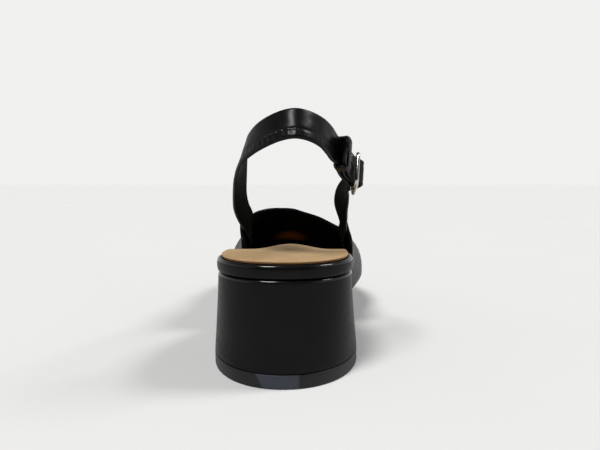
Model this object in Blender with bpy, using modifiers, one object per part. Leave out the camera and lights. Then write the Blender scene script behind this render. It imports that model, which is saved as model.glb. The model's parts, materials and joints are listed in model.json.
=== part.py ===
# A right-foot slingback court shoe on a covered block heel, built from its separate pieces.
# Sizes are in millimetres. Stations run forward from the back edge of the seat, x is positive on the
# outer side of the foot, and z is height above the floor. A parent empty puts the origin under the heel.

import bpy
import bmesh
from bisect import bisect_right
from math import acos, cos, pi, radians, sin
from mathutils import Matrix, Vector

MM = 0.001
UP = Vector((0.0, 0.0, 1.0))
MEDIAL, LATERAL = -1, 1

# Last: the form that the shoe is built on
LENGTH = 250.0              # insole board, back edge to toe tip
SEAT_WIDTH = 61.0
SEAT_DEPTH = 31.7           # back edge to the widest line of the seat
SEAT_SQUARENESS = 2.2       # 2 is an ellipse, more is squarer
BALL_WIDTH = 74.8
HEEL_RISE = 40.1            # board at the seat above board at the ball
TOE_SPRING = 11.3
THROAT_STATION = 142.0
THROAT_HEIGHT = 57.3        # top of the throat above the board
FLARE = 7.2                 # how far the upper swells past the board at the ball
FLARE_HEIGHT = 20.0         # height of that widest line above the board
GAP = 0.3                   # between pieces that touch

# Sole, board and sock
SOLE = 4.0
WAIST_SOLE = 3.4
SOLE_MARGIN = 2.4           # sole past the board, in the forepart
WAIST_INSET = 1.5           # sole inside the board, at the waist
SOLE_BEVEL = 0.8
RIM = 5.8                   # leather-wrapped board at the seat
FORE_BOARD = 2.4
RIM_ROUND = 0.9
SOCK = 1.5
SOCK_EDGE = 0.7
SOCK_INSET = 1.9
PAD_RISE = 3.0              # raised pad under the sock, in front of the seat
PAD_HALF_WIDTH = 20.0
PAD_OFFSET = 2.0            # pad's centre line, towards the outer side

# Heel
TOP_PIECE = 5.9
HEEL_BASE_WIDTH = 67.4
HEEL_BASE_DEPTH = 44.1      # back of the base to its widest line
HEEL_BASE_BACK = -1.9
HEEL_BASE_SQUARENESS = 2.1
HEEL_INSET = 0.4            # heel inside the rim at its top
BREAST_TOP = 58.0
BREAST_BASE = 50.0
HEEL_EDGE = 0.5

# Upper and straps
WALL = 1.8
REAR_STATION = 86.0         # where the quarters end at the feather edge
STRAP_WIDTH = 12.5
STRAP_BACK_WIDTH = 14.0
STRAP = 1.5
STRAP_BACK = 1.9
STRAP_HEIGHT = 106.5        # middle of the sling above the floor at its back
INNER_FALL = 0.52           # drop of the sling per length forward
OUTER_FALL = 0.455
ROOT_CLEARANCE = 1.3        # flat strap end inside the curved quarter
STRAP_EDGE = 0.3

# Buckle
FRAME_ACROSS = 18.0
FRAME_ALONG = 16.0
FRAME_WIRE = 1.8
FRAME_CORNER = 3.0
FRAME_OFFSET = 4.4          # middle of the frame outside the middle of the sling
FRAME_SWING = 13.0          # degrees that the frame's back end stands out from the sling's line
BAR_WIRE = 1.4
BAR_DROP = 1.4              # middle of the bar below the middle of the frame
PRONG_WIRE = 1.0
PRONG_SLOT = 2.2
KEEPER_START = 19.0
KEEPER_WIDTH = 4.4
KEEPER_WALL = 1.2
KEEPER_TILT = -8.0          # degrees that it leans with the straps, back end inwards
TIP_FLARE = 2.2              # the free tip stands off the sling, and rides up a little
TIP_LIFT = 1.2
TIP_REACH = 31.0            # billet's tip past the bar
HOLE = 2.0
HOLE_STEP = 7.0             # from one punched hole to the next

ROW_FRAME = 24.0            # station of the origin, under the middle of the heel

BLACK_LEATHER = ((0.012, 0.012, 0.013), 0.35, 0.0)
BLACK_RUBBER = ((0.016, 0.018, 0.022), 0.6, 0.0)
SOLE_LEATHER = ((0.02, 0.018, 0.017), 0.5, 0.0)
SOCK_LEATHER = ((0.50, 0.36, 0.21), 0.5, 0.0)
STEEL = ((0.62, 0.61, 0.58), 0.25, 1.0)


def table(columns, *rows):
    """Rows of numbers with named columns."""
    names = columns.split()
    return [dict(zip(names, row)) for row in rows]


# Board outline: half-widths as shares of the seat's half-width, turning into the ball's
OUTLINE = table(
    "share medial lateral",
    (0.127, 1.000, 1.000),
    (0.180, 0.984, 1.003),
    (0.240, 0.911, 0.989),
    (0.300, 0.784, 0.948),
    (0.360, 0.668, 0.907),
    (0.420, 0.613, 0.896),
    (0.480, 0.643, 0.927),
    (0.540, 0.760, 0.984),
    (0.592, 0.882, 1.021),
    (0.640, 0.952, 1.011),
    (0.688, 0.973, 0.957),
    (0.740, 0.957, 0.877),
    (0.792, 0.909, 0.762),
    (0.840, 0.837, 0.655),
    (0.888, 0.735, 0.535),
    (0.928, 0.628, 0.401),
    (0.960, 0.508, 0.281),
    (0.980, 0.398, 0.184),
    (0.992, 0.291, 0.078),
    (1.000, 0.107, -0.107),
)

# Side view of the board: shares of the heel's rise and of the toe spring along its length
PROFILE = table(
    "share heel toe",
    (0.00, 1.000, 0.000),
    (0.08, 1.000, 0.000),
    (0.16, 0.984, 0.000),
    (0.20, 0.954, 0.000),
    (0.24, 0.902, 0.000),
    (0.28, 0.822, 0.000),
    (0.32, 0.718, 0.000),
    (0.36, 0.597, 0.000),
    (0.40, 0.468, 0.000),
    (0.44, 0.335, 0.000),
    (0.48, 0.222, 0.000),
    (0.52, 0.124, 0.000),
    (0.56, 0.050, 0.000),
    (0.60, 0.011, 0.000),
    (0.63, 0.000, 0.000),
    (0.70, 0.000, 0.000),
    (0.74, 0.000, 0.030),
    (0.80, 0.000, 0.130),
    (0.86, 0.000, 0.320),
    (0.92, 0.000, 0.580),
    (0.96, 0.000, 0.780),
    (1.00, 0.000, 1.000),
)

# Thicknesses along the shoe: 1 is the rim's or the margin's full value, 0 the forepart's or the waist's
LAYERS = table(
    "share rim margin",
    (0.00, 1.0, 0.0),
    (0.30, 1.0, 0.0),
    (0.32, 0.95, 0.0),
    (0.38, 0.5, 1.0),
    (0.46, 0.0, 1.0),
    (1.00, 0.0, 1.0),
)

# Swell of the upper past the board, and the height of its widest line, as shares of the ball's
SWELL = table(
    "share medial lateral height",
    (0.34, 0.20, 0.46, 0.66),
    (0.42, 0.52, 0.68, 0.86),
    (0.50, 0.68, 0.90, 1.00),
    (0.58, 0.64, 1.00, 1.00),
    (0.68, 0.70, 1.00, 0.95),
    (0.78, 0.74, 0.86, 0.80),
    (0.88, 0.62, 0.64, 0.64),
    (0.95, 0.48, 0.50, 0.52),
    (1.00, 0.42, 0.42, 0.46),
)

# Top line of the vamp in side view: height as a share of the throat's, offset as a share of the ball's half
SPINE = table(
    "share height offset",
    (0.568, 1.010, -0.107),
    (0.620, 0.900, -0.120),
    (0.660, 0.816, -0.130),
    (0.700, 0.737, -0.134),
    (0.740, 0.660, -0.134),
    (0.780, 0.595, -0.134),
    (0.820, 0.534, -0.134),
    (0.860, 0.480, -0.134),
)

# Topline of each quarter, from the throat back to the strap: x as a share of the ball's half-width,
# station and height as shares of the throat's
TOPLINE = {
    MEDIAL: table(
        "step x station height",
        (0.00, -0.107, 1.000, 1.000),
        (0.09, -0.203, 0.998, 1.001),
        (0.22, -0.334, 0.980, 1.000),
        (0.42, -0.516, 0.930, 0.992),
        (0.62, -0.647, 0.862, 0.965),
        (0.82, -0.700, 0.789, 0.958),
        (1.00, -0.706, 0.718, 0.985),
    ),
    LATERAL: table(
        "step x station height",
        (0.00, -0.107, 1.000, 1.000),
        (0.09, -0.013, 0.999, 0.996),
        (0.22, 0.174, 0.985, 0.967),
        (0.42, 0.468, 0.940, 0.920),
        (0.62, 0.695, 0.868, 0.877),
        (0.82, 0.829, 0.796, 0.855),
        (1.00, 0.869, 0.723, 0.925),
    ),
}

# Sling from the inner quarter round the heel to the buckle: x as a share of the seat's half-width,
# station as a share of the length, lean of the upper edge towards the foot
SLING = table(
    "x station lean",
    (-0.752, 0.368, 0.28),
    (-0.800, 0.316, 0.40),
    (-0.807, 0.268, 0.50),
    (-0.774, 0.228, 0.52),
    (-0.730, 0.188, 0.50),
    (-0.680, 0.148, 0.44),
    (-0.622, 0.114, 0.34),
    (-0.542, 0.082, 0.20),
    (-0.414, 0.056, 0.07),
    (-0.243, 0.034, 0.00),
    (-0.033, 0.016, 0.00),
    (0.164, 0.009, 0.00),
    (0.345, 0.017, 0.00),
    (0.505, 0.035, 0.06),
    (0.615, 0.058, 0.14),
    (0.705, 0.084, 0.16),
)
SLING_AT_BUCKLE = table("x station", (0.836, 0.120), (0.938, 0.180))

# Straps at the buckle, along in shares of the frame's reach from its bar, away in shares of one strap's layer
SLING_BEHIND_BAR = table(
    "along away",
    (3.10, -2.50),
    (2.32, -2.20),
    (1.55, -2.00),
    (0.98, -1.42),
    (0.48, -0.56),
)
SLING_TAIL = table(
    "along away",
    (0.48, -1.93),
    (1.00, -2.62),
    (1.60, -3.12),
    (2.30, -3.36),
)
BILLET_AT_BAR = table(
    "along away",
    (-1.62, -2.72),
    (-1.03, -2.40),
    (-0.69, -1.11),
    (-0.44, 0.42),
    (0.00, 1.66),
    (0.36, 1.16),
    (0.66, 0.14),
    (0.97, -0.38),
    (1.55, -0.88),
    (2.15, -1.08),
    (3.20, -1.42),
)

# Billet from the outer quarter up to the buckle: x as a share of the seat's half-width, station as a
# share of the length, height as a share of the sling's
BILLET = table(
    "x station height lean",
    (0.970, 0.360, 0.582, -0.40),
    (0.940, 0.328, 0.628, -0.56),
    (0.925, 0.292, 0.675, -0.52),
    (0.940, 0.256, 0.720, -0.36),
)


def read(rows, column, at, rounded=False):
    """Value of a column on a smooth curve through its rows that never overshoots them."""
    key = "step" if "step" in rows[0] else "share"
    xs = [row[key] for row in rows]
    if rounded:
        xs = [acos(1 - 2 * x) for x in xs]
        at = acos(1 - 2 * min(max(at, 0.0), 1.0))
    ys = [row[column] for row in rows]
    steps = [after - before for before, after in zip(xs, xs[1:])]
    slopes = [(after - before) / step for before, after, step in zip(ys, ys[1:], steps)]
    tangents = [slopes[0]]
    for before, after in zip(slopes, slopes[1:]):
        tangents.append(2 * before * after / (before + after) if before * after > 0 else 0.0)
    tangents.append(slopes[-1])
    index = min(max(bisect_right(xs, at) - 1, 0), len(steps) - 1)
    step = steps[index]
    t = min(max((at - xs[index]) / step, 0.0), 1.0)
    rise = ys[index + 1] - ys[index]
    start = tangents[index] * step
    end = tangents[index + 1] * step
    return ys[index] + t * (start + t * (3 * rise - 2 * start - end + t * (start + end - 2 * rise)))


def mix(a, b, t):
    return a + (b - a) * t


def smoothstep(t):
    t = min(max(t, 0.0), 1.0)
    return t * t * (3 - 2 * t)


def profile(station):
    """Height of the board's underside."""
    share = station / LENGTH
    heel = read(PROFILE, "heel", share) * HEEL_RISE
    toe = read(PROFILE, "toe", share) * TOE_SPRING
    return SOLE + GAP + heel + toe


def turn_at(station):
    """Angle round the board's outline that reaches a station on its inner side."""
    return acos(1 - 2 * min(max(station / LENGTH, 0.0), 1.0))


def rim_point(turn):
    """Plan point of the board's outline: 0 at the back, pi at the toe tip, negative on the outer side."""
    station = LENGTH * (1 - cos(turn)) / 2
    side = "medial" if sin(turn) >= 0 else "lateral"
    sign = MEDIAL if sin(turn) >= 0 else LATERAL
    if station < SEAT_DEPTH:
        n = SEAT_SQUARENESS
        reach = (1 - (1 - station / SEAT_DEPTH) ** n) ** (1 / n)
        return Vector((sign * SEAT_WIDTH / 2 * reach, station))
    share = station / LENGTH
    half = mix(SEAT_WIDTH, BALL_WIDTH, smoothstep((share - 0.2) / 0.35)) / 2
    return Vector((sign * half * read(OUTLINE, side, share, rounded=True), station))


def outward(turn):
    """Unit plan normal of the board's outline."""
    step = 0.02
    along = rim_point(turn + step) - rim_point(turn - step)
    along.normalize()
    return Vector((-along.y, along.x))


def board_pair(turn, offset, height, start=None):
    """Inner and outer points of the board's outline, moved out by an offset, at a height over the profile."""
    pair = []
    for sign in (1, -1):
        plan = rim_point(sign * turn) + outward(sign * turn) * offset
        if start is not None:
            plan.y = max(plan.y, start)
        pair.append(Vector((plan.x, plan.y, profile(plan.y) + height)))
    return pair


def build(name, points, faces, look, collection):
    """Object from points in millimetres, with its own material."""
    mesh = bpy.data.meshes.new(name)
    mesh.from_pydata([tuple(p * MM for p in point) for point in points], [], faces)
    mesh.validate()
    thing = bpy.data.objects.new(name, mesh)
    collection.objects.link(thing)
    finish(thing, look)
    return thing


def finish(thing, look):
    """Own material, smooth shading with crisp edges, and the shoe's empty as parent."""
    colour, roughness, metallic = look
    material = bpy.data.materials.new(thing.name)
    material.use_nodes = True
    shader = material.node_tree.nodes["Principled BSDF"]
    shader.inputs["Base Color"].default_value = (*colour, 1.0)
    shader.inputs["Roughness"].default_value = roughness
    shader.inputs["Metallic"].default_value = metallic
    thing.data.materials.clear()
    thing.data.materials.append(material)
    thing.data.shade_smooth()
    thing.data.set_sharp_from_angle(angle=radians(35))
    thing.parent = shoe_empty


def stack(name, layers, look, collection, columns=0, crown=None):
    """Closed solid from layers of paired points; the top may get a crowned grid between its pairs."""
    points, faces, rings, ends = [], [], [], []
    for layer in layers:
        medial, lateral = [], []
        for inner, outer in layer:
            medial.append(len(points))
            points.append(inner)
            if (inner - outer).length < 1e-6:
                lateral.append(medial[-1])
            else:
                lateral.append(len(points))
                points.append(outer)
        ring = medial + [i for i in reversed(lateral) if i not in (medial[0], medial[-1])]
        rings.append(ring)
        ends.append((medial, lateral))
    for low, high in zip(rings, rings[1:]):
        for i in range(len(low)):
            j = (i + 1) % len(low)
            faces.append((low[j], low[i], high[i], high[j]))
    for level, (medial, lateral) in enumerate(ends):
        if level not in (0, len(ends) - 1):
            continue
        rows = []
        across = columns if level else 0
        for a, b in zip(medial, lateral):
            row = [a]
            for step in range(1, across + 1):
                if a != b:
                    spot = points[a].lerp(points[b], step / (across + 1))
                    row.append(len(points))
                    points.append(spot + UP * crown(spot))
                else:
                    row.append(a)
            rows.append(row + [b])
        for back, front in zip(rows, rows[1:]):
            for i in range(len(back) - 1):
                face = [back[i], back[i + 1], front[i + 1], front[i]]
                face = list(dict.fromkeys(face))
                if len(face) > 2:
                    faces.append(face if level else face[::-1])
    thing = build(name, points, faces, look, collection)
    close(thing)
    return thing


def close(thing):
    """Merge doubled points and turn every face outwards."""
    mesh = bmesh.new()
    mesh.from_mesh(thing.data)
    bmesh.ops.remove_doubles(mesh, verts=mesh.verts, dist=1e-6)
    bmesh.ops.recalc_face_normals(mesh, faces=mesh.faces)
    if mesh.calc_volume(signed=True) < 0:
        bmesh.ops.reverse_faces(mesh, faces=mesh.faces)
    mesh.to_mesh(thing.data)
    mesh.free()


def cut(thing, cutter):
    """Exact Boolean difference with a wire cutter."""
    cutter.hide_render = True
    cutter.display_type = "WIRE"
    change = thing.modifiers.new(cutter.name, "BOOLEAN")
    change.operation = "DIFFERENCE"
    change.object = cutter


# Bottom of the shoe

TURNS = [pi * step / 40 for step in range(41)]


def make_outsole(collection):
    """Leather sole from the heel's breast to the toe, with its bottom edge bevelled."""
    start = BREAST_TOP + GAP
    turns = [turn_at(start)] + [turn for turn in TURNS if turn > turn_at(start) + 0.03]

    def layer(inset, drop):
        pairs = []
        for turn in turns:
            share = (1 - cos(turn)) / 2
            margin = read(LAYERS, "margin", share)
            offset = mix(-WAIST_INSET, SOLE_MARGIN, margin)
            sole = mix(WAIST_SOLE, SOLE, smoothstep((share - 0.45) / 0.1))
            pairs.append(board_pair(turn, offset - inset, -GAP - drop * sole, start))
        return pairs

    layers = [layer(SOLE_BEVEL, 1.0), layer(0.0, 1.0 - SOLE_BEVEL / SOLE), layer(0.0, 0.0)]
    return stack("outsole", layers, SOLE_LEATHER, collection)


def board_thickness(station):
    return mix(FORE_BOARD, RIM, read(LAYERS, "rim", station / LENGTH))


def make_board(collection):
    """Insole board, thick and leather-wrapped at the seat, thin under the vamp."""
    def layer(inset, share):
        pairs = []
        for turn in TURNS:
            pair = board_pair(turn, -inset, 0.0)
            for point in pair:
                thick = board_thickness(point.y)
                edge = RIM_ROUND * min(thick / RIM, 1.0)
                point.z += {0: 0.0, 1: edge, 2: thick - edge, 3: thick}[share]
            pairs.append(pair)
        return pairs

    layers = [layer(RIM_ROUND, 0), layer(0.0, 1), layer(0.0, 2), layer(RIM_ROUND, 3)]
    return stack("insole_board", layers, BLACK_LEATHER, collection)


def make_sock(collection):
    """Padded leather sock on the board, raised in front of the seat."""
    def layer(inset, rise):
        pairs = []
        for turn in TURNS:
            pair = board_pair(turn, -inset, GAP + rise)
            for point in pair:
                point.z += board_thickness(point.y)
            pairs.append(pair)
        return pairs

    def crown(spot):
        across = abs(spot.x - PAD_OFFSET) / PAD_HALF_WIDTH
        if across >= 1:
            return 0.0
        along = smoothstep((spot.y / LENGTH - 0.13) / 0.1) * (1 - smoothstep((spot.y / LENGTH - 0.3) / 0.16))
        return PAD_RISE * cos(across * pi / 2) ** 2 * along

    layers = [layer(SOCK_INSET, 0.0), layer(SOCK_INSET, SOCK_EDGE), layer(SOCK_INSET + 1.2, SOCK)]
    return stack("sock", layers, SOCK_LEATHER, collection, columns=9, crown=crown)


# Heel

def heel_pairs(share, inset, low, top):
    """Paired points round the heel at a share of its height, drawn in by an inset at its edges."""
    flare = (1 - share) ** 1.3
    half = mix(SEAT_WIDTH / 2 - HEEL_INSET, HEEL_BASE_WIDTH / 2, flare) - inset
    back = mix(HEEL_INSET, HEEL_BASE_BACK, flare) + inset
    deep = mix(SEAT_DEPTH, HEEL_BASE_DEPTH, flare)
    square = mix(SEAT_SQUARENESS, HEEL_BASE_SQUARENESS, flare)
    breast = mix(BREAST_TOP, BREAST_BASE, flare) - inset
    pairs = []
    steps = 14
    for step in range(steps + 1):
        angle = pi / 2 * step / steps
        y = back + (deep - back) * (1 - cos(angle) ** (2 / square))
        x = half * sin(angle) ** (2 / square)
        pairs.append([Vector((-x, y, 0)), Vector((x, y, 0))])
    for step in range(1, 5):
        t = step / 4
        y = mix(deep, breast, t)
        pair = []
        for sign in (MEDIAL, LATERAL):
            board = abs(rim_point(-sign * turn_at(y)).x) - HEEL_INSET - inset
            x = mix(board, half * (1 - 0.03 * t * t), flare)
            pair.append(Vector((sign * x, y, 0)))
        pairs.append(pair)
    for pair in pairs:
        for point in pair:
            point.z = mix(low, top(point.y), share)
    return pairs


def make_heel(collection):
    """Leather-covered block under the seat, and the rubber top piece that it stands on."""
    low = TOP_PIECE + GAP
    high = profile(0)

    def seat(y):
        return profile(y) - GAP

    edge = HEEL_EDGE / (high - low)
    rows = [(0.0, HEEL_EDGE)]
    rows += [(share, 0.0) for share in (edge, 0.1, 0.22, 0.36, 0.52, 0.7, 0.86, 1 - edge * 1.6)]
    rows += [(1.0, HEEL_EDGE * 1.4)]
    layers = [heel_pairs(share, inset, low, seat) for share, inset in rows]
    stack("heel_block", layers, BLACK_LEATHER, collection)

    layers = []
    for inset, z in ((HEEL_EDGE, 0.0), (0.0, HEEL_EDGE), (0.0, TOP_PIECE - HEEL_EDGE), (HEEL_EDGE, TOP_PIECE)):
        pairs = heel_pairs(0.0, inset, z, seat)
        layers.append(pairs)
    stack("heel_top_piece", layers, BLACK_RUBBER, collection)


# Upper

RIB_LOW = (0.0, 0.18, 0.34, 0.52, 0.72, 1.0)
RIB_HIGH = (0.14, 0.28, 0.42, 0.56, 0.7, 0.85, 1.0)
FEATHER = 1.8
FEATHER_LIFT = 0.2          # the wall's bottom edge above the board's underside
TOE_FAN = 0.84              # where the ribs of the toe meet on the vamp's top line
THROAT_LEAD = 0.032         # base of the throat's rib ahead of the throat


def rib(turn, top, end):
    """Points up the inside of the upper, from the board's edge out to the widest line and up to its top."""
    share = (1 - cos(turn)) / 2
    side = "medial" if sin(turn) >= 0 else "lateral"
    normal = outward(turn)
    plan = rim_point(turn) + normal * GAP
    base = Vector((plan.x, plan.y, profile(plan.y) + FEATHER_LIFT))
    out = Vector((normal.x, normal.y, 0))
    swell = FLARE * read(SWELL, side, share)
    widest = FLARE_HEIGHT * read(SWELL, "height", share)
    points = [base]
    for t in RIB_LOW:
        reach = smoothstep((max(t - 0.06, 0.0) / 0.76) ** 0.85)
        points.append(base + out * swell * reach + UP * mix(FEATHER, widest, t))
    start = points[-1]
    rise = start + UP * 0.68 * max(top.z - start.z, 2.0)
    for t in RIB_HIGH:
        s = 1 - t
        points.append(start * s ** 3 + rise * 3 * s * s * t + end * 3 * s * t * t + top * t ** 3)
    return points


def spine(station):
    """Point on the vamp's top line."""
    share = station / LENGTH
    x = read(SPINE, "offset", share) * BALL_WIDTH / 2
    return Vector((x, station, profile(station) + read(SPINE, "height", share) * THROAT_HEIGHT))


def vamp_rib(turn):
    """Rib over the closed forepart; its top lags behind its base, so the ribs fan round the toe's tip."""
    side = MEDIAL if sin(turn) >= 0 else LATERAL
    station = LENGTH * (1 - cos(turn)) / 2
    along = (station - rib_base(0)) / (LENGTH - rib_base(0))
    top_station = mix(THROAT_STATION, TOE_FAN * LENGTH, sin(pi / 2 * along))
    top = spine(top_station)
    slope = (spine(top_station + 1).z - spine(top_station - 1).z) / 2
    plan = rim_point(turn)
    away = Vector((plan.x - top.x, plan.y - top.y, 0))
    heading = away.normalized().lerp(throat_heading(side), smoothstep(1 - along / 0.3)).normalized()
    return rib(turn, top, top + (heading + UP * slope * heading.y) * away.length * 0.6)


def rib_base(step):
    """Station at the feather edge of a quarter's rib, from the throat's to the rear edge."""
    return mix(THROAT_STATION + THROAT_LEAD * LENGTH, REAR_STATION, step)


def throat_heading(side):
    """Plan direction of the rib that ends at the corner between the vamp's top line and the topline."""
    return Vector((side, 1.0, 0.0)).normalized()


def topline(side, step):
    """Point on a quarter's top edge, from the throat to the strap."""
    rows = TOPLINE[side]
    throat = spine(THROAT_STATION).z
    x = read(rows, "x", step) * BALL_WIDTH / 2
    station = read(rows, "station", step) * THROAT_STATION
    return Vector((x, station, read(rows, "height", step) * throat))


def quarter_rib(side, step):
    """Rib of an open quarter: flat over at the throat, upright at the strap."""
    turn = -side * turn_at(rib_base(step))
    top = topline(side, step)
    edge = topline(side, step + 0.02) - topline(side, max(step - 0.02, 0.0))
    across = Vector((-side * edge.y, side * edge.x, 0.0)).normalized()
    heading = throat_heading(side).lerp(across, smoothstep((step - 0.25) / 0.35)).normalized()
    plan = rim_point(turn)
    away = Vector((plan.x - top.x, plan.y - top.y, 0))
    slope = (spine(THROAT_STATION + 2).z - spine(THROAT_STATION).z) / 2 * (1 - smoothstep(step / 0.6))
    flat = top + (heading + UP * slope * heading.y) * away.length * 0.6
    upright = top - Vector((-side * 0.16, 0.45, 0.85)) * STRAP_WIDTH * 0.9
    return rib(turn, top, flat.lerp(upright, smoothstep(step * 1.15)))


def wall_at(side, station, height):
    """Point and unit outward normal on the inside of a quarter, found by its side view."""
    grid = [quarter_rib(side, step / 30) for step in range(31)]
    best = None
    for i in range(1, len(grid) - 1):
        for j in range(6, len(grid[i]) - 1):
            for t in (0.0, 0.25, 0.5, 0.75):
                point = grid[i][j].lerp(grid[i][j + 1], t)
                far = (point.y - station) ** 2 + (point.z - height) ** 2
                if best is None or far < best[0]:
                    along = grid[i + 1][j] - grid[i - 1][j]
                    up = grid[i][j + 1] - grid[i][j]
                    best = (far, point, along.cross(up))
    point, normal = best[1], best[2].normalized()
    if normal.x * side < 0:
        normal = -normal
    return Vector((point.x, station, height)), normal


def make_upper(collection):
    """Closed vamp and open quarters in one wall of leather and lining, open along the sole."""
    points, faces = [], []
    vamp = 18
    quarter = 14
    throat = turn_at(rib_base(0))
    shared = {}

    def add(point):
        key = tuple(round(value, 4) for value in point)
        if key not in shared:
            shared[key] = len(points)
            points.append(point)
        return shared[key]

    for side in (MEDIAL, LATERAL):
        ribs = [vamp_rib(-side * mix(pi, throat, step / vamp)) for step in range(vamp)]
        ribs += [quarter_rib(side, step / quarter) for step in range(quarter + 1)]
        grid = [[add(point) for point in row] for row in ribs]
        for a, b in zip(grid, grid[1:]):
            for j in range(len(a) - 1):
                face = list(dict.fromkeys((a[j], b[j], b[j + 1], a[j + 1])))
                if len(face) > 2:
                    faces.append(face if side == MEDIAL else face[::-1])
    upper = build("upper", points, faces, BLACK_LEATHER, collection)
    shell = upper.modifiers.new("wall", "SOLIDIFY")
    shell.thickness = WALL * MM
    shell.offset = 1
    shell.use_even_offset = True
    shell.use_quality_normals = True
    return upper


# Straps

def ribbon(name, rows, look, collection, fineness=3):
    """Flat strap lofted along a smooth path; a row is middle, width direction, width and thickness."""
    flat = [[*row[0], *row[1], row[2], row[3]] for row in rows]
    dense = []
    for i in range(len(flat) - 1):
        before = flat[max(i - 1, 0)]
        after = flat[min(i + 2, len(flat) - 1)]
        for step in range(fineness):
            t = step / fineness
            values = []
            for p0, p1, p2, p3 in zip(before, flat[i], flat[i + 1], after):
                bend = 2 * p0 - 5 * p1 + 4 * p2 - p3
                twist = 3 * p1 - p0 - 3 * p2 + p3
                values.append(p1 + 0.5 * t * (p2 - p0 + t * (bend + t * twist)))
            dense.append(values)
    dense.append(flat[-1])
    middles = [Vector(values[:3]) for values in dense]
    points, faces = [], []
    for i, values in enumerate(dense):
        along = (middles[min(i + 1, len(dense) - 1)] - middles[max(i - 1, 0)]).normalized()
        wide = Vector(values[3:6])
        wide = (wide - along * wide.dot(along)).normalized()
        thick = along.cross(wide)
        half, deep = values[6] / 2, values[7] / 2
        edge = min(STRAP_EDGE, deep * 0.8, half * 0.8)
        for w, n in ((half, deep - edge), (half - edge, deep), (edge - half, deep), (-half, deep - edge),
                     (-half, edge - deep), (edge - half, -deep), (half - edge, -deep), (half, edge - deep)):
            points.append(middles[i] + wide * w + thick * n)
    for i in range(len(dense) - 1):
        for j in range(8):
            k = (j + 1) % 8
            faces.append((8 * i + j, 8 * i + k, 8 * (i + 1) + k, 8 * (i + 1) + j))
    faces.append(list(range(7, -1, -1)))
    faces.append([8 * (len(dense) - 1) + j for j in range(8)])
    strap = build(name, points, faces, look, collection)
    close(strap)
    return strap


def sling_height(station, fall):
    return STRAP_HEIGHT - fall * (station - 0.008 * LENGTH)


def buckle_line():
    """Middle of the buckle, and the directions back along the sling's line, across it and outwards."""
    ends = []
    for row in SLING_AT_BUCKLE:
        station = row["station"] * LENGTH
        ends.append(Vector((row["x"] * SEAT_WIDTH / 2, station, sling_height(station, OUTER_FALL))))
    back = (ends[0] - ends[1]).normalized()
    out = Vector((-back.y, back.x, 0)).normalized()
    across = out.cross(back).normalized()
    if across.z < 0:
        across = -across
    return ends[1] + out * FRAME_OFFSET, back, across, out


def at_buckle(along, away):
    """Point from distances back along the sling's line and outwards from the buckle's middle."""
    middle, back, across, out = buckle_line()
    return middle + back * along + out * away


def in_frame(along, away):
    """Point from distances along the swung frame and out of its plane."""
    swing = radians(FRAME_SWING)
    return at_buckle(along * cos(swing) - away * sin(swing), along * sin(swing) + away * cos(swing))


def sling_rows():
    """Sling from its root inside the inner quarter, round the heel, and folded round the buckle's bar."""
    across = buckle_line()[2]
    rows = []
    for share in (0.472, 0.448, 0.424, 0.400):
        station = share * LENGTH
        spot, normal = wall_at(MEDIAL, station, sling_height(station, INNER_FALL))
        lean = Vector((0.30, 0.44, 0.84))
        wide = lean - normal * lean.dot(normal)
        rows.append((spot - normal * (ROOT_CLEARANCE + GAP + STRAP / 2), wide.normalized(), STRAP_WIDTH, STRAP))
    seat = SEAT_WIDTH / 2
    for row in SLING:
        station = row["station"] * LENGTH
        fall = INNER_FALL if row["x"] < 0.1 else OUTER_FALL
        spot = Vector((row["x"] * seat, station, sling_height(station, fall)))
        near = 1 - smoothstep(station / LENGTH / 0.16)
        wide = Vector((row["lean"], 0.47, 0.88)).normalized()
        rows.append((spot, wide, mix(STRAP_WIDTH, STRAP_BACK_WIDTH, near), mix(STRAP, STRAP_BACK, near)))
    radius = fold_radius()
    path = [row_at(row) for row in SLING_BEHIND_BAR]
    for step in range(5):
        angle = pi / 2 + pi * step / 4
        path.append((radius * cos(angle), radius * sin(angle) - BAR_DROP))
    path += [row_at(row) for row in SLING_TAIL]
    for along, away in path:
        rows.append((at_buckle(along, away), across, STRAP_WIDTH, STRAP))
    return rows


def fold_radius():
    """Radius of the sling's middle where it turns round the bar."""
    return BAR_WIRE / 2 + GAP + STRAP / 2


def row_at(row):
    """Distances along and away of a row that holds them in shares of the frame's reach and the strap's layer."""
    return row["along"] * (FRAME_ALONG - FRAME_WIRE) / 2, row["away"] * (STRAP + GAP)


def billet_rows():
    """Billet from its root inside the outer quarter, through the buckle and over the bar, to a round tip."""
    across = buckle_line()[2]
    rows = []
    roots = ((0.440, 0.432), (0.420, 0.474), (0.400, 0.518))
    for share, rise in roots:
        station = share * LENGTH
        spot, normal = wall_at(LATERAL, station, rise * STRAP_HEIGHT)
        lean = Vector((-0.34, 0.56, 0.76))
        wide = lean - normal * lean.dot(normal)
        rows.append((spot - normal * (ROOT_CLEARANCE + GAP + STRAP / 2), wide.normalized(), STRAP_WIDTH, STRAP))
    for row in BILLET:
        spot = Vector((row["x"] * SEAT_WIDTH / 2, row["station"] * LENGTH, row["height"] * STRAP_HEIGHT))
        rows.append((spot, Vector((row["lean"], 0.50, 0.82)).normalized(), STRAP_WIDTH, STRAP))
    for row in BILLET_AT_BAR:
        rows.append((at_buckle(*row_at(row)), across, STRAP_WIDTH, STRAP))
    start, level = row_at(BILLET_AT_BAR[-1])
    for step in range(1, 5):
        angle = pi / 2 * step / 4
        width = STRAP_WIDTH * max(cos(angle) ** 0.8, 0.25)
        along = mix(start, TIP_REACH, sin(angle))
        spot = at_buckle(along, level + TIP_FLARE * sin(angle) ** 2) + across * TIP_LIFT * sin(angle) ** 2
        rows.append((spot, across, width, STRAP))
    return rows


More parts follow.
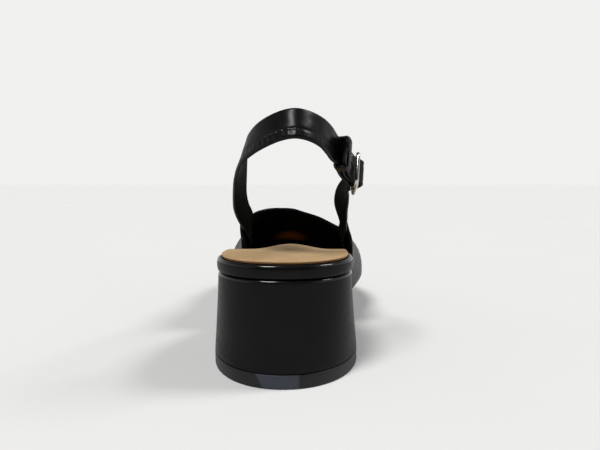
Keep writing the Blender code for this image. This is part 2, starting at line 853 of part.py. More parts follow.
def cutter_box(name, along, away, size, collection, tilt=0.0):
    """Box at the buckle: its size along, across and outwards, and its tilt in degrees."""
    line, across, sideways = buckle_line()[1:]
    back = line * cos(radians(tilt)) + sideways * sin(radians(tilt))
    out = sideways * cos(radians(tilt)) - line * sin(radians(tilt))
    bpy.ops.mesh.primitive_cube_add(size=1)
    box = bpy.context.object
    box.name = name
    place(box, collection)
    axes = Matrix((back, across, out)).transposed()
    for vertex in box.data.vertices:
        spot = Vector([value * length for value, length in zip(vertex.co, size)])
        vertex.co = (at_buckle(along, away) + axes @ spot) * MM
    box.data.update()
    close(box)
    return box


def place(thing, collection):
    """Move an object to one collection, under the shoe's empty."""
    for other in list(thing.users_collection):
        other.objects.unlink(thing)
    collection.objects.link(thing)
    thing.parent = shoe_empty


def make_straps(collection, cutters):
    """Both straps, with the slot that the prong works in and the punched holes."""
    sling = ribbon("sling_strap", sling_rows(), BLACK_LEATHER, collection)
    turned = fold_radius() + STRAP / 2
    slot = cutter_box("prong_slot", 0.0, -BAR_DROP, (2.6 * turned, PRONG_SLOT, 2.2 * turned), cutters)
    cut(sling, slot)
    billet = ribbon("buckle_strap", billet_rows(), BLACK_LEATHER, collection)
    in_use, level = row_at(BILLET_AT_BAR[3])
    hole = cutter_box("prong_hole", in_use, level, (2 * HOLE, HOLE, 4 * STRAP), cutters)
    cut(billet, hole)
    for number, along in enumerate((in_use - HOLE_STEP, in_use + 2 * HOLE_STEP)):
        level = row_at(BILLET_AT_BAR[9 * number])[1]
        hole = cutter_box("strap_hole_%d" % number, along, level, (HOLE, HOLE, 3 * STRAP), cutters)
        cut(billet, hole)


# Buckle

def tube(name, spots, radius, cyclic, look, collection, sides=2):
    """Round wire along points, as a closed mesh."""
    curve = bpy.data.curves.new(name, "CURVE")
    curve.dimensions = "3D"
    curve.bevel_depth = radius * MM
    curve.bevel_resolution = sides
    curve.use_fill_caps = True
    spline = curve.splines.new("POLY")
    spline.points.add(len(spots) - 1)
    for point, spot in zip(spline.points, spots):
        point.co = (*(spot * MM), 1.0)
    spline.use_cyclic_u = cyclic
    guide = bpy.data.objects.new(name + "_guide", curve)
    collection.objects.link(guide)
    bpy.context.view_layer.update()
    mesh = bpy.data.meshes.new_from_object(guide.evaluated_get(bpy.context.evaluated_depsgraph_get()))
    thing = bpy.data.objects.new(name, mesh)
    bpy.data.objects.remove(guide)
    collection.objects.link(thing)
    close(thing)
    finish(thing, look)
    return thing


def weld(thing, other):
    """Boolean union of two meshes into the first."""
    join = thing.modifiers.new(other.name, "BOOLEAN")
    join.operation = "UNION"
    join.object = other


def make_buckle(collection, cutters):
    """Wire frame with its bar, prong curled round the bar, and the keeper behind them."""
    across = buckle_line()[2]
    half_w = (FRAME_ACROSS - FRAME_WIRE) / 2
    half_u = (FRAME_ALONG - FRAME_WIRE) / 2
    spots = []
    for quadrant in range(4):
        cu = (half_u - FRAME_CORNER) * (1 if quadrant in (0, 3) else -1)
        cw = (half_w - FRAME_CORNER) * (1 if quadrant in (0, 1) else -1)
        for step in range(5):
            angle = pi / 2 * (quadrant + step / 4)
            u = cu + FRAME_CORNER * cos(angle)
            w = cw + FRAME_CORNER * sin(angle)
            spots.append(in_frame(u, 0.0) + across * w)
    frame = tube("buckle_frame", spots, FRAME_WIRE / 2, True, STEEL, collection)
    reach = half_w + 0.2
    ends = [at_buckle(0.0, -BAR_DROP) + across * reach * sign for sign in (-1, 1)]
    bar = tube("buckle_bar", ends, BAR_WIRE / 2, False, STEEL, cutters)
    bar.hide_render = True
    bar.display_type = "WIRE"
    weld(frame, bar)

    radius = BAR_WIRE / 2 + GAP + PRONG_WIRE / 2
    ring = []
    for step in range(12):
        angle = 2 * pi * step / 12
        ring.append(at_buckle(radius * cos(angle), radius * sin(angle) - BAR_DROP))
    prong = tube("buckle_prong", ring, PRONG_WIRE / 2, True, STEEL, collection)
    rest = FRAME_WIRE / 2 + GAP + PRONG_WIRE / 2
    tip = half_u + FRAME_WIRE
    arm_path = [at_buckle(-radius * 0.7, radius * 0.7 - BAR_DROP), in_frame(-half_u, rest), in_frame(-tip, rest)]
    arm = tube("prong_arm", arm_path, PRONG_WIRE / 2, False, STEEL, cutters)
    arm.hide_render = True
    arm.display_type = "WIRE"
    weld(prong, arm)

    top = row_at(BILLET_AT_BAR[-1])[1] + STRAP / 2 + 2 * GAP
    bottom = row_at(SLING_BEHIND_BAR[0])[1] - STRAP / 2 - 2 * GAP
    wide = STRAP_WIDTH / 2 + GAP
    outer = cutter_box("keeper", KEEPER_START + KEEPER_WIDTH / 2, (top + bottom) / 2,
                       (KEEPER_WIDTH, 2 * (wide + KEEPER_WALL), top - bottom + 2 * KEEPER_WALL), collection,
                       KEEPER_TILT)
    finish(outer, BLACK_LEATHER)
    inner = cutter_box("keeper_opening", KEEPER_START + KEEPER_WIDTH / 2, (top + bottom) / 2,
                       (KEEPER_WIDTH * 2, 2 * wide, top - bottom), cutters, KEEPER_TILT)
    cut(outer, inner)


for thing in list(bpy.data.objects):
    bpy.data.objects.remove(thing, do_unlink=True)

shoe = bpy.data.collections.new("slingback_shoe")
tools = bpy.data.collections.new("cutters")
bpy.context.scene.collection.children.link(shoe)
bpy.context.scene.collection.children.link(tools)

shoe_empty = bpy.data.objects.new("shoe", None)
shoe_empty.location = (0.0, -ROW_FRAME * MM, 0.0)
shoe.objects.link(shoe_empty)

make_heel(shoe)
make_outsole(shoe)
make_board(shoe)
make_sock(shoe)
make_upper(shoe)
make_straps(shoe, tools)
make_buckle(shoe, tools)
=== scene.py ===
import json
from bisect import bisect_right
from math import acos, cos, exp, pi, radians, sin

import bmesh
import bpy
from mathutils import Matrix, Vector, noise

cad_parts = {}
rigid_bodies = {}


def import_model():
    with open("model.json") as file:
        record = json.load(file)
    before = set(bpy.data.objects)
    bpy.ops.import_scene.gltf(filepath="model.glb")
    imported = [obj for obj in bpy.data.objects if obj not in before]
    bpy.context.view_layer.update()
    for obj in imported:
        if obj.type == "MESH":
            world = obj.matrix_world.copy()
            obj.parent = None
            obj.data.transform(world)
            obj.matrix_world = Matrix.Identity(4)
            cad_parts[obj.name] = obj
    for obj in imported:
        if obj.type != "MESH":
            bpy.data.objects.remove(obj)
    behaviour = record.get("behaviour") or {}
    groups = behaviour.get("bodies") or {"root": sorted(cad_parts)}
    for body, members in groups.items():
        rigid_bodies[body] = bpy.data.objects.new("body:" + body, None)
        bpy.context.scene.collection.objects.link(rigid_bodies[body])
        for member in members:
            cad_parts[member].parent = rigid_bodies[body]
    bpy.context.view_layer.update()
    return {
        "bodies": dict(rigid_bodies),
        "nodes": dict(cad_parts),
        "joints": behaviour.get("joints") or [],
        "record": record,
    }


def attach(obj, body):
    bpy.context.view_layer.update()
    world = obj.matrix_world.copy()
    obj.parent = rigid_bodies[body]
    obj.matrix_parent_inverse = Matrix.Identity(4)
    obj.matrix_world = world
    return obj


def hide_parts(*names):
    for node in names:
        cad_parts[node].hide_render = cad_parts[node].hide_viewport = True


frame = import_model()

# Insole board
# The fibre board that the shoe is built on. At the seat it is thick, and black calf leather is pulled over
# its edge and glued down under the sock, which makes the plain rim above the heel. Under the vamp it is thin.

MM = 0.001
ORIGIN_STATION = 24.0         # stations run forward from the back of the seat, the origin is under the heel
LENGTH = 250.0
SEAT_WIDTH = 61.0
SEAT_DEPTH = 31.7
SEAT_SQUARENESS = 2.2
BALL_WIDTH = 74.8
HEEL_RISE = 40.1
TOE_SPRING = 11.3
GAP = 0.3
SOLE = 4.0
RIM = 5.8
FORE_BOARD = 2.4
RIM_ROUND = 1.1
RIM_BULGE = 0.15


def table(columns, *rows):
    """Rows of numbers with named columns."""
    names = columns.split()
    return [dict(zip(names, row)) for row in rows]


# Board outline: half-widths as shares of the seat's half-width, turning into the ball's
OUTLINE = table(
    "share medial lateral",
    (0.127, 1.000, 1.000), (0.180, 0.984, 1.003), (0.240, 0.911, 0.989), (0.300, 0.784, 0.948),
    (0.360, 0.668, 0.907), (0.420, 0.613, 0.896), (0.480, 0.643, 0.927), (0.540, 0.760, 0.984),
    (0.592, 0.882, 1.021), (0.640, 0.952, 1.011), (0.688, 0.973, 0.957), (0.740, 0.957, 0.877),
    (0.792, 0.909, 0.762), (0.840, 0.837, 0.655), (0.888, 0.735, 0.535), (0.928, 0.628, 0.401),
    (0.960, 0.508, 0.281), (0.980, 0.398, 0.184), (0.992, 0.291, 0.078), (1.000, 0.107, -0.107),
)
# Side view of the board: shares of the heel's rise and of the toe spring
PROFILE = table(
    "share heel toe",
    (0.00, 1.000, 0.000), (0.08, 1.000, 0.000), (0.16, 0.984, 0.000), (0.20, 0.954, 0.000),
    (0.24, 0.902, 0.000), (0.28, 0.822, 0.000), (0.32, 0.718, 0.000), (0.36, 0.597, 0.000),
    (0.40, 0.468, 0.000), (0.44, 0.335, 0.000), (0.48, 0.222, 0.000), (0.52, 0.124, 0.000),
    (0.56, 0.050, 0.000), (0.60, 0.011, 0.000), (0.63, 0.000, 0.000), (0.70, 0.000, 0.000),
    (0.74, 0.000, 0.030), (0.80, 0.000, 0.130), (0.86, 0.000, 0.320), (0.92, 0.000, 0.580),
    (0.96, 0.000, 0.780), (1.00, 0.000, 1.000),
)
# 1 is the rim's full thickness or the sole's full margin, 0 the forepart's thickness or the waist's inset
LAYERS = table(
    "share rim margin",
    (0.00, 1.0, 0.0), (0.30, 1.0, 0.0), (0.32, 0.95, 0.0), (0.38, 0.5, 1.0), (0.46, 0.0, 1.0),
    (1.00, 0.0, 1.0),
)


def read(rows, column, at, rounded=False):
    """Value of a column on a smooth curve through its rows that never overshoots them."""
    key = "step" if "step" in rows[0] else "share"
    xs = [row[key] for row in rows]
    if rounded:
        xs = [acos(1 - 2 * x) for x in xs]
        at = acos(1 - 2 * min(max(at, 0.0), 1.0))
    ys = [row[column] for row in rows]
    steps = [after - before for before, after in zip(xs, xs[1:])]
    slopes = [(after - before) / step for before, after, step in zip(ys, ys[1:], steps)]
    tangents = [slopes[0]]
    for before, after in zip(slopes, slopes[1:]):
        tangents.append(2 * before * after / (before + after) if before * after > 0 else 0.0)
    tangents.append(slopes[-1])
    index = min(max(bisect_right(xs, at) - 1, 0), len(steps) - 1)
    step = steps[index]
    t = min(max((at - xs[index]) / step, 0.0), 1.0)
    rise = ys[index + 1] - ys[index]
    start = tangents[index] * step
    end = tangents[index + 1] * step
    return ys[index] + t * (start + t * (3 * rise - 2 * start - end + t * (start + end - 2 * rise)))


def mix(a, b, t):
    return a + (b - a) * t


def smoothstep(t):
    t = min(max(t, 0.0), 1.0)
    return t * t * (3 - 2 * t)


def profile(station):
    """Height of the board's underside."""
    share = station / LENGTH
    return SOLE + GAP + read(PROFILE, "heel", share) * HEEL_RISE + read(PROFILE, "toe", share) * TOE_SPRING


def turn_at(station):
    """Angle round the board's outline that reaches a station on its inner side."""
    return acos(1 - 2 * min(max(station / LENGTH, 0.0), 1.0))


def rim_point(turn):
    """Plan point of the board's outline: 0 at the back, pi at the toe tip, negative on the outer side."""
    station = LENGTH * (1 - cos(turn)) / 2
    side, sign = ("medial", -1) if sin(turn) >= 0 else ("lateral", 1)
    if station < SEAT_DEPTH:
        n = SEAT_SQUARENESS
        return Vector((sign * SEAT_WIDTH / 2 * (1 - (1 - station / SEAT_DEPTH) ** n) ** (1 / n), station))
    share = station / LENGTH
    half = mix(SEAT_WIDTH, BALL_WIDTH, smoothstep((share - 0.2) / 0.35)) / 2
    return Vector((sign * half * read(OUTLINE, side, share, rounded=True), station))


def outward(turn):
    """Unit plan normal of the board's outline."""
    along = (rim_point(turn + 0.02) - rim_point(turn - 0.02)).normalized()
    return Vector((-along.y, along.x))


def board_pair(turn, offset, height, start=None):
    """Inner and outer points of the board's outline, moved out by an offset, at a height over the profile."""
    pair = []
    for sign in (1, -1):
        plan = rim_point(sign * turn) + outward(sign * turn) * offset
        if start is not None:
            plan.y = max(plan.y, start)
        pair.append(Vector((plan.x, plan.y, profile(plan.y) + height)))
    return pair


def board_thickness(station):
    return mix(FORE_BOARD, RIM, read(LAYERS, "rim", station / LENGTH))


def rounding(steps=5):
    """Inset and height, in shares of its radius, up a rounded lower edge."""
    return [(1 - sin(pi / 2 * k / steps), 1 - cos(pi / 2 * k / steps)) for k in range(steps + 1)]


def make(name, points, faces, materials, looks=None, crisp=40):
    """A piece from points in millimetres, smooth but for crisp edges; looks give each face its material."""
    mesh = bpy.data.meshes.new(name)
    mesh.from_pydata([(p[0] * MM, (p[1] - ORIGIN_STATION) * MM, p[2] * MM) for p in points], [], faces)
    for material in materials:
        mesh.materials.append(material)
    if looks:
        mesh.polygons.foreach_set("material_index", looks)
    tidy = bmesh.new()
    tidy.from_mesh(mesh)
    bmesh.ops.remove_doubles(tidy, verts=tidy.verts, dist=1e-7)
    bmesh.ops.recalc_face_normals(tidy, faces=tidy.faces)
    if tidy.calc_volume(signed=True) < 0:
        bmesh.ops.reverse_faces(tidy, faces=tidy.faces)
    tidy.to_mesh(mesh)
    tidy.free()
    mesh.shade_smooth()
    mesh.set_sharp_from_angle(angle=radians(crisp))
    piece = bpy.data.objects.new(name, mesh)
    bpy.context.scene.collection.objects.link(piece)
    return piece


def stack(name, layers, materials, bands=None, columns=0, crown=None):
    """Closed solid from layers of paired points; its top may be a crowned sheet between the pairs."""
    points, faces, looks, rings, ends = [], [], [], [], []
    bands = bands or [0] * (len(layers) + 1)
    for layer in layers:
        medial, lateral = [], []
        for inner, outer in layer:
            medial.append(len(points))
            points.append(inner)
            if (inner - outer).length < 1e-6:
                lateral.append(medial[-1])
            else:
                lateral.append(len(points))
                points.append(outer)
        rings.append(medial + [i for i in reversed(lateral) if i not in (medial[0], medial[-1])])
        ends.append((medial, lateral))
    for band, (low, high) in enumerate(zip(rings, rings[1:])):
        for i in range(len(low)):
            j = (i + 1) % len(low)
            faces.append((low[j], low[i], high[i], high[j]))
            looks.append(bands[band + 1])
    for level, (medial, lateral) in ((0, ends[0]), (1, ends[-1])):
        rows = []
        for a, b in zip(medial, lateral):
            row = [a]
            for step in range(1, columns * level + 1):
                if a != b:
                    spot = points[a].lerp(points[b], step / (columns + 1))
                    row.append(len(points))
                    points.append(spot + Vector((0, 0, crown(spot))))
                else:
                    row.append(a)
            rows.append(row + [b])
        for back, front in zip(rows, rows[1:]):
            for i in range(len(back) - 1):
                face = list(dict.fromkeys([back[i], back[i + 1], front[i + 1], front[i]]))
                if len(face) > 2:
                    faces.append(face if level else face[::-1])
                    looks.append(bands[-1] if level else bands[0])
    return make(name, points, faces, materials, looks)


def linear(code):
    """Scene colour of an sRGB hex value."""
    parts = [int(code[i:i + 2], 16) / 255 for i in (1, 3, 5)]
    return (*[((p + 0.055) / 1.055) ** 2.4 if p > 0.04045 else p / 12.92 for p in parts], 1.0)


def plug(material, made, sockets):
    """Set a node's sockets to values, or link them to outputs."""
    for socket, value in sockets.items():
        if isinstance(value, bpy.types.NodeSocket):
            material.node_tree.links.new(value, made.inputs[socket])
        else:
            made.inputs[socket].default_value = value


def node(material, kind, sockets=None, **settings):
    """A node of a material with its settings and sockets."""
    made = material.node_tree.nodes.new("ShaderNode" + kind)
    for name, value in settings.items():
        setattr(made, name, value)
    plug(material, made, sockets or {})
    return made


def surface(name):
    """A new material, its shader, and the place on the object that its patterns are scaled by."""
    material = bpy.data.materials.new(name)
    material.use_nodes = True
    return material, material.node_tree.nodes["Principled BSDF"], node(material, "TexCoord").outputs["Object"]


def noise_at(material, place, size, detail):
    """Cloudy pattern with patches of a size in millimetres."""
    sockets = {"Scale": 1 / (size * MM), "Detail": detail}
    return node(material, "TexNoise", {"Vector": place, **sockets} if place else sockets).outputs["Fac"]


def spread(material, value, low, high, **ends):
    """A value mapped from low and high to 0 and 1, or to other ends."""
    sockets = {"Value": value, "From Min": low, "From Max": high}
    sockets.update({key.replace("_", " ").title(): end for key, end in ends.items()})
    return node(material, "MapRange", sockets).outputs["Result"]


def sums(material, operation, *values):
    """One step of arithmetic on values or outputs."""
    return node(material, "Math", dict(enumerate(values)), operation=operation).outputs["Value"]


def ramp(material, share, low, first, high, second):
    """Colours from one hex value to another between two shares."""
    made = node(material, "ValToRGB", {"Fac": share})
    for element, position, code in zip(made.color_ramp.elements, (low, high), (first, second)):
        element.position = position
        element.color = linear(code)
    return made.outputs["Color"]


def tint_over(material, share, code):
    """Another colour over a material's own, where a share is 1."""
    shader = material.node_tree.nodes["Principled BSDF"]
    blend = node(material, "Mix", {"Factor": share}, data_type="RGBA")
    plug(material, blend, {6: shader.inputs["Base Color"].links[0].from_socket, 7: linear(code)})
    plug(material, shader, {"Base Color": blend.outputs[2]})


def calf_leather(name, dark, light, gloss, grain=0.7, depth=0.02, specular=0.03, wax=0.22, shine=0.16):
    """Black full-grain calf, drum-dyed and finished with a thin wax: near black, with a soft broad sheen that
    breaks up in fine pores. Real pores are 0.2 mm; grain is in millimetres and coarser, so that it shows."""
    material, shader, place = surface(name)
    cloud = noise_at(material, place, 14, 3.0)
    pores = node(material, "TexVoronoi", {"Vector": place, "Scale": 1 / (grain * MM)}).outputs["Distance"]
    fibre = noise_at(material, place, grain * 2.6, 4.0)
    low = node(material, "Bump", {"Height": fibre, "Strength": 0.5, "Distance": depth * 2 * MM})
    relief = node(material, "Bump", {"Height": pores, "Normal": low.outputs["Normal"], "Strength": 0.6,
                                     "Distance": depth * MM})
    plug(material, shader, {
        "Base Color": ramp(material, cloud, 0.3, dark, 0.7, light),
        "Roughness": spread(material, fibre, 0.3, 0.7, to_min=gloss - 0.05, to_max=gloss + 0.07),
        "Normal": relief.outputs["Normal"], "Specular IOR Level": specular,
        "Coat Weight": wax, "Coat Roughness": shine,
    })
    return material



def board_layer(inset, low_share, high_share):
    """Ring round the board at shares of its rounded lower and upper edges."""
    pairs = []
    for turn in BOARD_TURNS:
        pair = board_pair(turn, -inset, 0.0)
        for point in pair:
            thick = board_thickness(point.y)
            edge = RIM_ROUND * min(thick / RIM, 1.0)
            point.z += edge * low_share if high_share is None else thick - edge * high_share
        pairs.append(pair)
    return pairs


def edge_bands(layers):
    """Looks of a stack whose rounded upper edge has the second one."""
    return [0] * (len(layers) - 5) + [1] * 5 + [0]


BOARD_TURNS = [pi * step / 130 for step in range(131)]
board_layers = [board_layer(RIM_ROUND * inset, height, None) for inset, height in rounding()]
board_layers += [board_layer(-RIM_BULGE, 2.0, None), board_layer(-RIM_BULGE, None, 2.0)]
board_layers += [board_layer(RIM_ROUND * inset, None, height) for inset, height in reversed(rounding())]
rim_leather = calf_leather("waxed_calf_rim", "#0a0a0b", "#0f0f10", gloss=0.46, wax=0.2)
rim_edge = calf_leather("burnished_rim_edge", "#0a0a0b", "#0f0f10", gloss=0.4, wax=0.9, shine=0.12)
insole_board = stack("insole_board_covered", board_layers, [rim_leather, rim_edge],
                     bands=edge_bands(board_layers))
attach(insole_board, "root")
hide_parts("insole_board")

# Upper, outer leather
# The closed vamp and the two quarters, cut from black calf, pulled over the last and glued under the board.
# The edge round the collar is skived and turned over, and soft creases cross the vamp where the foot bends.

THROAT_STATION = 142.0
THROAT_HEIGHT = 57.3
FLARE = 7.2
FLARE_HEIGHT = 20.0
REAR_STATION = 86.0
WALL = 1.8
LINING = 0.7
STRAP_WIDTH = 12.5
FEATHER = 1.8
FEATHER_LIFT = 0.2
TOE_FAN = 0.84
THROAT_LEAD = 0.032
RIB_LOW = [k / 11 for k in range(12)]
RIB_HIGH = [mix(k / 16, (k / 16) ** 1.2, 0.5) for k in range(1, 17)]

# Swell of the upper past the board, and the height of its widest line, as shares of the ball's
SWELL = table(
    "share medial lateral height",
    (0.34, 0.20, 0.46, 0.66), (0.42, 0.52, 0.68, 0.86), (0.50, 0.68, 0.90, 1.00), (0.58, 0.64, 1.00, 1.00),
    (0.68, 0.70, 1.00, 0.95), (0.78, 0.74, 0.86, 0.80), (0.88, 0.62, 0.64, 0.64), (0.95, 0.48, 0.50, 0.52),
    (1.00, 0.42, 0.42, 0.46),
)
# Top line of the vamp: height as a share of the throat's, offset as a share of the ball's half-width
SPINE = table(
    "share height offset",
    (0.568, 1.010, -0.107), (0.620, 0.900, -0.120), (0.660, 0.816, -0.130), (0.700, 0.737, -0.134),
    (0.740, 0.660, -0.134), (0.780, 0.595, -0.134), (0.820, 0.534, -0.134), (0.860, 0.480, -0.134),
)
# Collar edge of each quarter, from the throat back to the strap, in shares of the ball's half and the throat
COLLAR = {
    -1: table(
        "step x station height",
        (0.00, -0.107, 1.000, 1.000), (0.09, -0.203, 0.998, 1.001), (0.22, -0.334, 0.980, 1.000),
        (0.42, -0.516, 0.930, 0.992), (0.62, -0.647, 0.862, 0.965), (0.82, -0.700, 0.789, 0.958),
        (1.00, -0.706, 0.718, 0.985),
    ),
    1: table(
        "step x station height",
        (0.00, -0.107, 1.000, 1.000), (0.09, -0.013, 0.999, 0.996), (0.22, 0.174, 0.985, 0.967),
        (0.42, 0.468, 0.940, 0.920), (0.62, 0.695, 0.868, 0.877), (0.82, 0.829, 0.796, 0.855),
        (1.00, 0.869, 0.723, 0.925),
    ),
}


def rib(turn, top, end):
    """Points up the inside of the upper, from the board's edge out to the widest line and up to its top."""
    share = (1 - cos(turn)) / 2
    normal = outward(turn)
    plan = rim_point(turn) + normal * GAP
    out = Vector((normal.x, normal.y, 0))
    swell = FLARE * read(SWELL, "medial" if sin(turn) >= 0 else "lateral", share)
    widest = FLARE_HEIGHT * read(SWELL, "height", share)
    base = Vector((plan.x, plan.y, profile(plan.y) + FEATHER_LIFT))
    points = [base]
    for t in RIB_LOW:
        reach = smoothstep((max(t - 0.06, 0.0) / 0.76) ** 0.85)
        points.append(base + out * swell * reach + Vector((0, 0, mix(FEATHER, widest, t))))
    start = points[-1]
    rise = start + Vector((0, 0, 0.68 * max(top.z - start.z, 2.0)))
    for t in RIB_HIGH:
        s = 1 - t
        points.append(start * s ** 3 + rise * 3 * s * s * t + end * 3 * s * t * t + top * t ** 3)
    return points


def spine(station):
    """Point on the vamp's top line."""
    share = station / LENGTH
    x = read(SPINE, "offset", share) * BALL_WIDTH / 2
    return Vector((x, station, profile(station) + read(SPINE, "height", share) * THROAT_HEIGHT))


def rib_base(step):
    """Station at the board's edge of a quarter's rib, from the throat's to the rear edge."""
    return mix(THROAT_STATION + THROAT_LEAD * LENGTH, REAR_STATION, step)


def vamp_rib(turn):
    """Rib over the closed forepart; its top lags behind its base, so the ribs fan round the toe's tip."""
    side = -1 if sin(turn) >= 0 else 1
    station = LENGTH * (1 - cos(turn)) / 2
    along = (station - rib_base(0)) / (LENGTH - rib_base(0))
    top_station = mix(THROAT_STATION, TOE_FAN * LENGTH, sin(pi / 2 * along))
    top = spine(top_station)
    slope = (spine(top_station + 1).z - spine(top_station - 1).z) / 2
    plan = rim_point(turn)
    away = Vector((plan.x - top.x, plan.y - top.y, 0))
    corner = Vector((side, 1.0, 0.0)).normalized()
    heading = away.normalized().lerp(corner, smoothstep(1 - along / 0.3)).normalized()
    return rib(turn, top, top + (heading + Vector((0, 0, slope * heading.y))) * away.length * 0.6)


def collar(side, step):
    """Point on a quarter's top edge, from the throat to the strap."""
    rows = COLLAR[side]
    return Vector((read(rows, "x", step) * BALL_WIDTH / 2, read(rows, "station", step) * THROAT_STATION,
                   read(rows, "height", step) * spine(THROAT_STATION).z))


def quarter_rib(side, step):
    """Rib of an open quarter: flat over at the throat, upright at the strap."""
    turn = -side * turn_at(rib_base(step))
    top = collar(side, step)
    edge = collar(side, step + 0.02) - collar(side, max(step - 0.02, 0.0))
    across = Vector((-side * edge.y, side * edge.x, 0.0)).normalized()
    corner = Vector((side, 1.0, 0.0)).normalized()
    heading = corner.lerp(across, smoothstep((step - 0.25) / 0.35)).normalized()
    plan = rim_point(turn)
    away = Vector((plan.x - top.x, plan.y - top.y, 0))
    slope = (spine(THROAT_STATION + 2).z - spine(THROAT_STATION).z) / 2 * (1 - smoothstep(step / 0.6))
    flat = top + (heading + Vector((0, 0, slope * heading.y))) * away.length * 0.6
    upright = top - Vector((-side * 0.16, 0.45, 0.85)) * STRAP_WIDTH * 0.9
    return rib(turn, top, flat.lerp(upright, smoothstep(step * 1.15)))


VAMP_RIBS = 60
QUARTER_RIBS = 44
throat_turn = turn_at(rib_base(0))
ribs = {}
for side in (-1, 1):
    ribs[side] = [vamp_rib(-side * mix(pi, throat_turn, step / VAMP_RIBS)) for step in range(VAMP_RIBS)]
    ribs[side] += [quarter_rib(side, step / QUARTER_RIBS) for step in range(QUARTER_RIBS + 1)]


def upper_sheet():
    """Points, faces and outward normals of the inside of the upper."""
    points, faces, shared = [], [], {}
    for side in (-1, 1):
        grid = []
        for row in ribs[side]:
            line = []
            for point in row:
                key = tuple(round(value, 4) for value in point)
                if key not in shared:
                    shared[key] = len(points)
                    points.append(point)
                line.append(shared[key])
            grid.append(line)
        for a, b in zip(grid, grid[1:]):
            for j in range(len(a) - 1):
                face = list(dict.fromkeys((a[j], b[j], b[j + 1], a[j + 1])))
                if len(face) > 2:
                    faces.append(face if side < 0 else face[::-1])
    probe = bpy.data.meshes.new("probe")
    probe.from_pydata(points, [], faces)
    normals = [vertex.normal.copy() for vertex in probe.vertices]
    bpy.data.meshes.remove(probe)
    return points, faces, normals


def upper_layer(name, low, high, materials, relief=None):
    """One layer of the upper's wall, from one distance outside the foot's space to another."""
    points, faces, normals = upper_sheet()
    moved = [p + n * (low + (relief(p) if relief else 0.0)) for p, n in zip(points, normals)]
    mesh = bpy.data.meshes.new(name)
    mesh.from_pydata([(p.x * MM, (p.y - ORIGIN_STATION) * MM, p.z * MM) for p in moved], [], faces)
    for material in materials:
        mesh.materials.append(material)
    mesh.shade_smooth()
    piece = bpy.data.objects.new(name, mesh)
    bpy.context.scene.collection.objects.link(piece)
    shell = piece.modifiers.new("thickness", "SOLIDIFY")
    shell.thickness = (high - low) * MM
    shell.offset = 1
    shell.use_even_offset = True
    shell.use_quality_normals = True
    turned = piece.modifiers.new("turned_edge", "BEVEL")
    turned.width = min(0.42, (high - low) * 0.45) * MM
    turned.segments = 3
    turned.limit_method = "ANGLE"
    turned.angle_limit = radians(60)
    return piece


upper_leather = calf_leather("waxed_calf_upper", "#0a0a0a", "#0f0f10", gloss=0.48, grain=0.8)


def flex(spot):
    """Soft creases across the vamp where the foot bends, deepest beside the middle."""
    depth = 0.0
    for station, bend, deep in ((157, 0.012, 0.30), (163, 0.010, 0.22), (170, 0.008, 0.15)):
        away = spot.y - station - bend * (spot.x + 4) ** 2
        depth += deep * exp(-(away / 1.5) ** 2) * smoothstep((spot.z - 26) / 10)
    return -depth + 0.10 * noise.noise(spot / 11) * smoothstep((spot.z - 12) / 8)


upper_outer = upper_layer("upper_outer_leather", LINING + 0.08, WALL, [upper_leather], relief=flex)
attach(upper_outer, "root")
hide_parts("upper")

# Upper, lining
# Thin lining leather glued inside the outer leather and trimmed at the collar: black round the foot, and
# undyed tan pigskin in the toe. The tan is painted brightest at the toe's end and fades into the black as
# painted shade, which shows as a warm patch of painted light deep inside the shoe.

lining_with_painted_toe_light = calf_leather("lining_leather_with_painted_toe_light", "#0b0b0b", "#0f0f0f", gloss=0.6, grain=0.6, wax=0.0)


def undyed_leather(name, pale, deep, gloss, grain, depth):
    """Undyed lining leather with a matt finish: tan, faintly mottled, with fine hair pores."""
    material, shader, place = surface(name)
    cloud = noise_at(material, place, 9, 5.0)
    pores = node(material, "TexVoronoi", {"Vector": place, "Scale": 1 / (grain * MM)}).outputs["Distance"]
    fibre = noise_at(material, place, grain * 2.2, 4.0)
    share = sums(material, "MULTIPLY", sums(material, "ADD", cloud, fibre), 0.5)
    low = node(material, "Bump", {"Height": pores, "Strength": 0.5, "Distance": depth * MM})
    relief = node(material, "Bump", {"Height": fibre, "Normal": low.outputs["Normal"], "Strength": 0.5,
                                     "Distance": depth * 2 * MM})
    plug(material, shader, {"Base Color": ramp(material, share, 0.36, deep, 0.64, pale), "Roughness": gloss,
                            "Normal": relief.outputs["Normal"], "Specular IOR Level": 0.3})
    return material



# Middle and reach of the painted light on the tan toe lining, which fades into painted shade
TOE_LINING_LIGHT_MIDDLE = Vector((-2.0, 196.0 - ORIGIN_STATION, 34.0))
TOE_LINING_LIGHT_REACH = Vector((16.0, 32.0, 22.0))

# The tan is painted brightest round the toe's end, where light reaches it, and fades into the black away from
# it: painted light and shade
lining_place = node(lining_with_painted_toe_light, "TexCoord").outputs["Object"]
toe_light_place = node(lining_with_painted_toe_light, "Mapping", {"Vector": lining_place, "Location": TOE_LINING_LIGHT_MIDDLE * MM,
                                           "Scale": TOE_LINING_LIGHT_REACH * MM}, vector_type="TEXTURE")
toe_painted_light = node(lining_with_painted_toe_light, "TexGradient", {"Vector": toe_light_place.outputs["Vector"]},
               gradient_type="SPHERICAL")
tint_over(lining_with_painted_toe_light, spread(lining_with_painted_toe_light, toe_painted_light.outputs["Fac"], 0.02, 0.55), "#a9713f")
upper_lining = upper_layer("upper_lining", 0.0, LINING, [lining_with_painted_toe_light])
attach(upper_lining, "root")
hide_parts("upper")

# Outsole
# Thin black sole from the heel's breast to the toe, glued on, with its lower edge trimmed round.

WAIST_SOLE = 3.4
SOLE_MARGIN = 2.4
WAIST_INSET = 1.5
SOLE_EDGE = 0.8
BREAST_TOP = 58.0


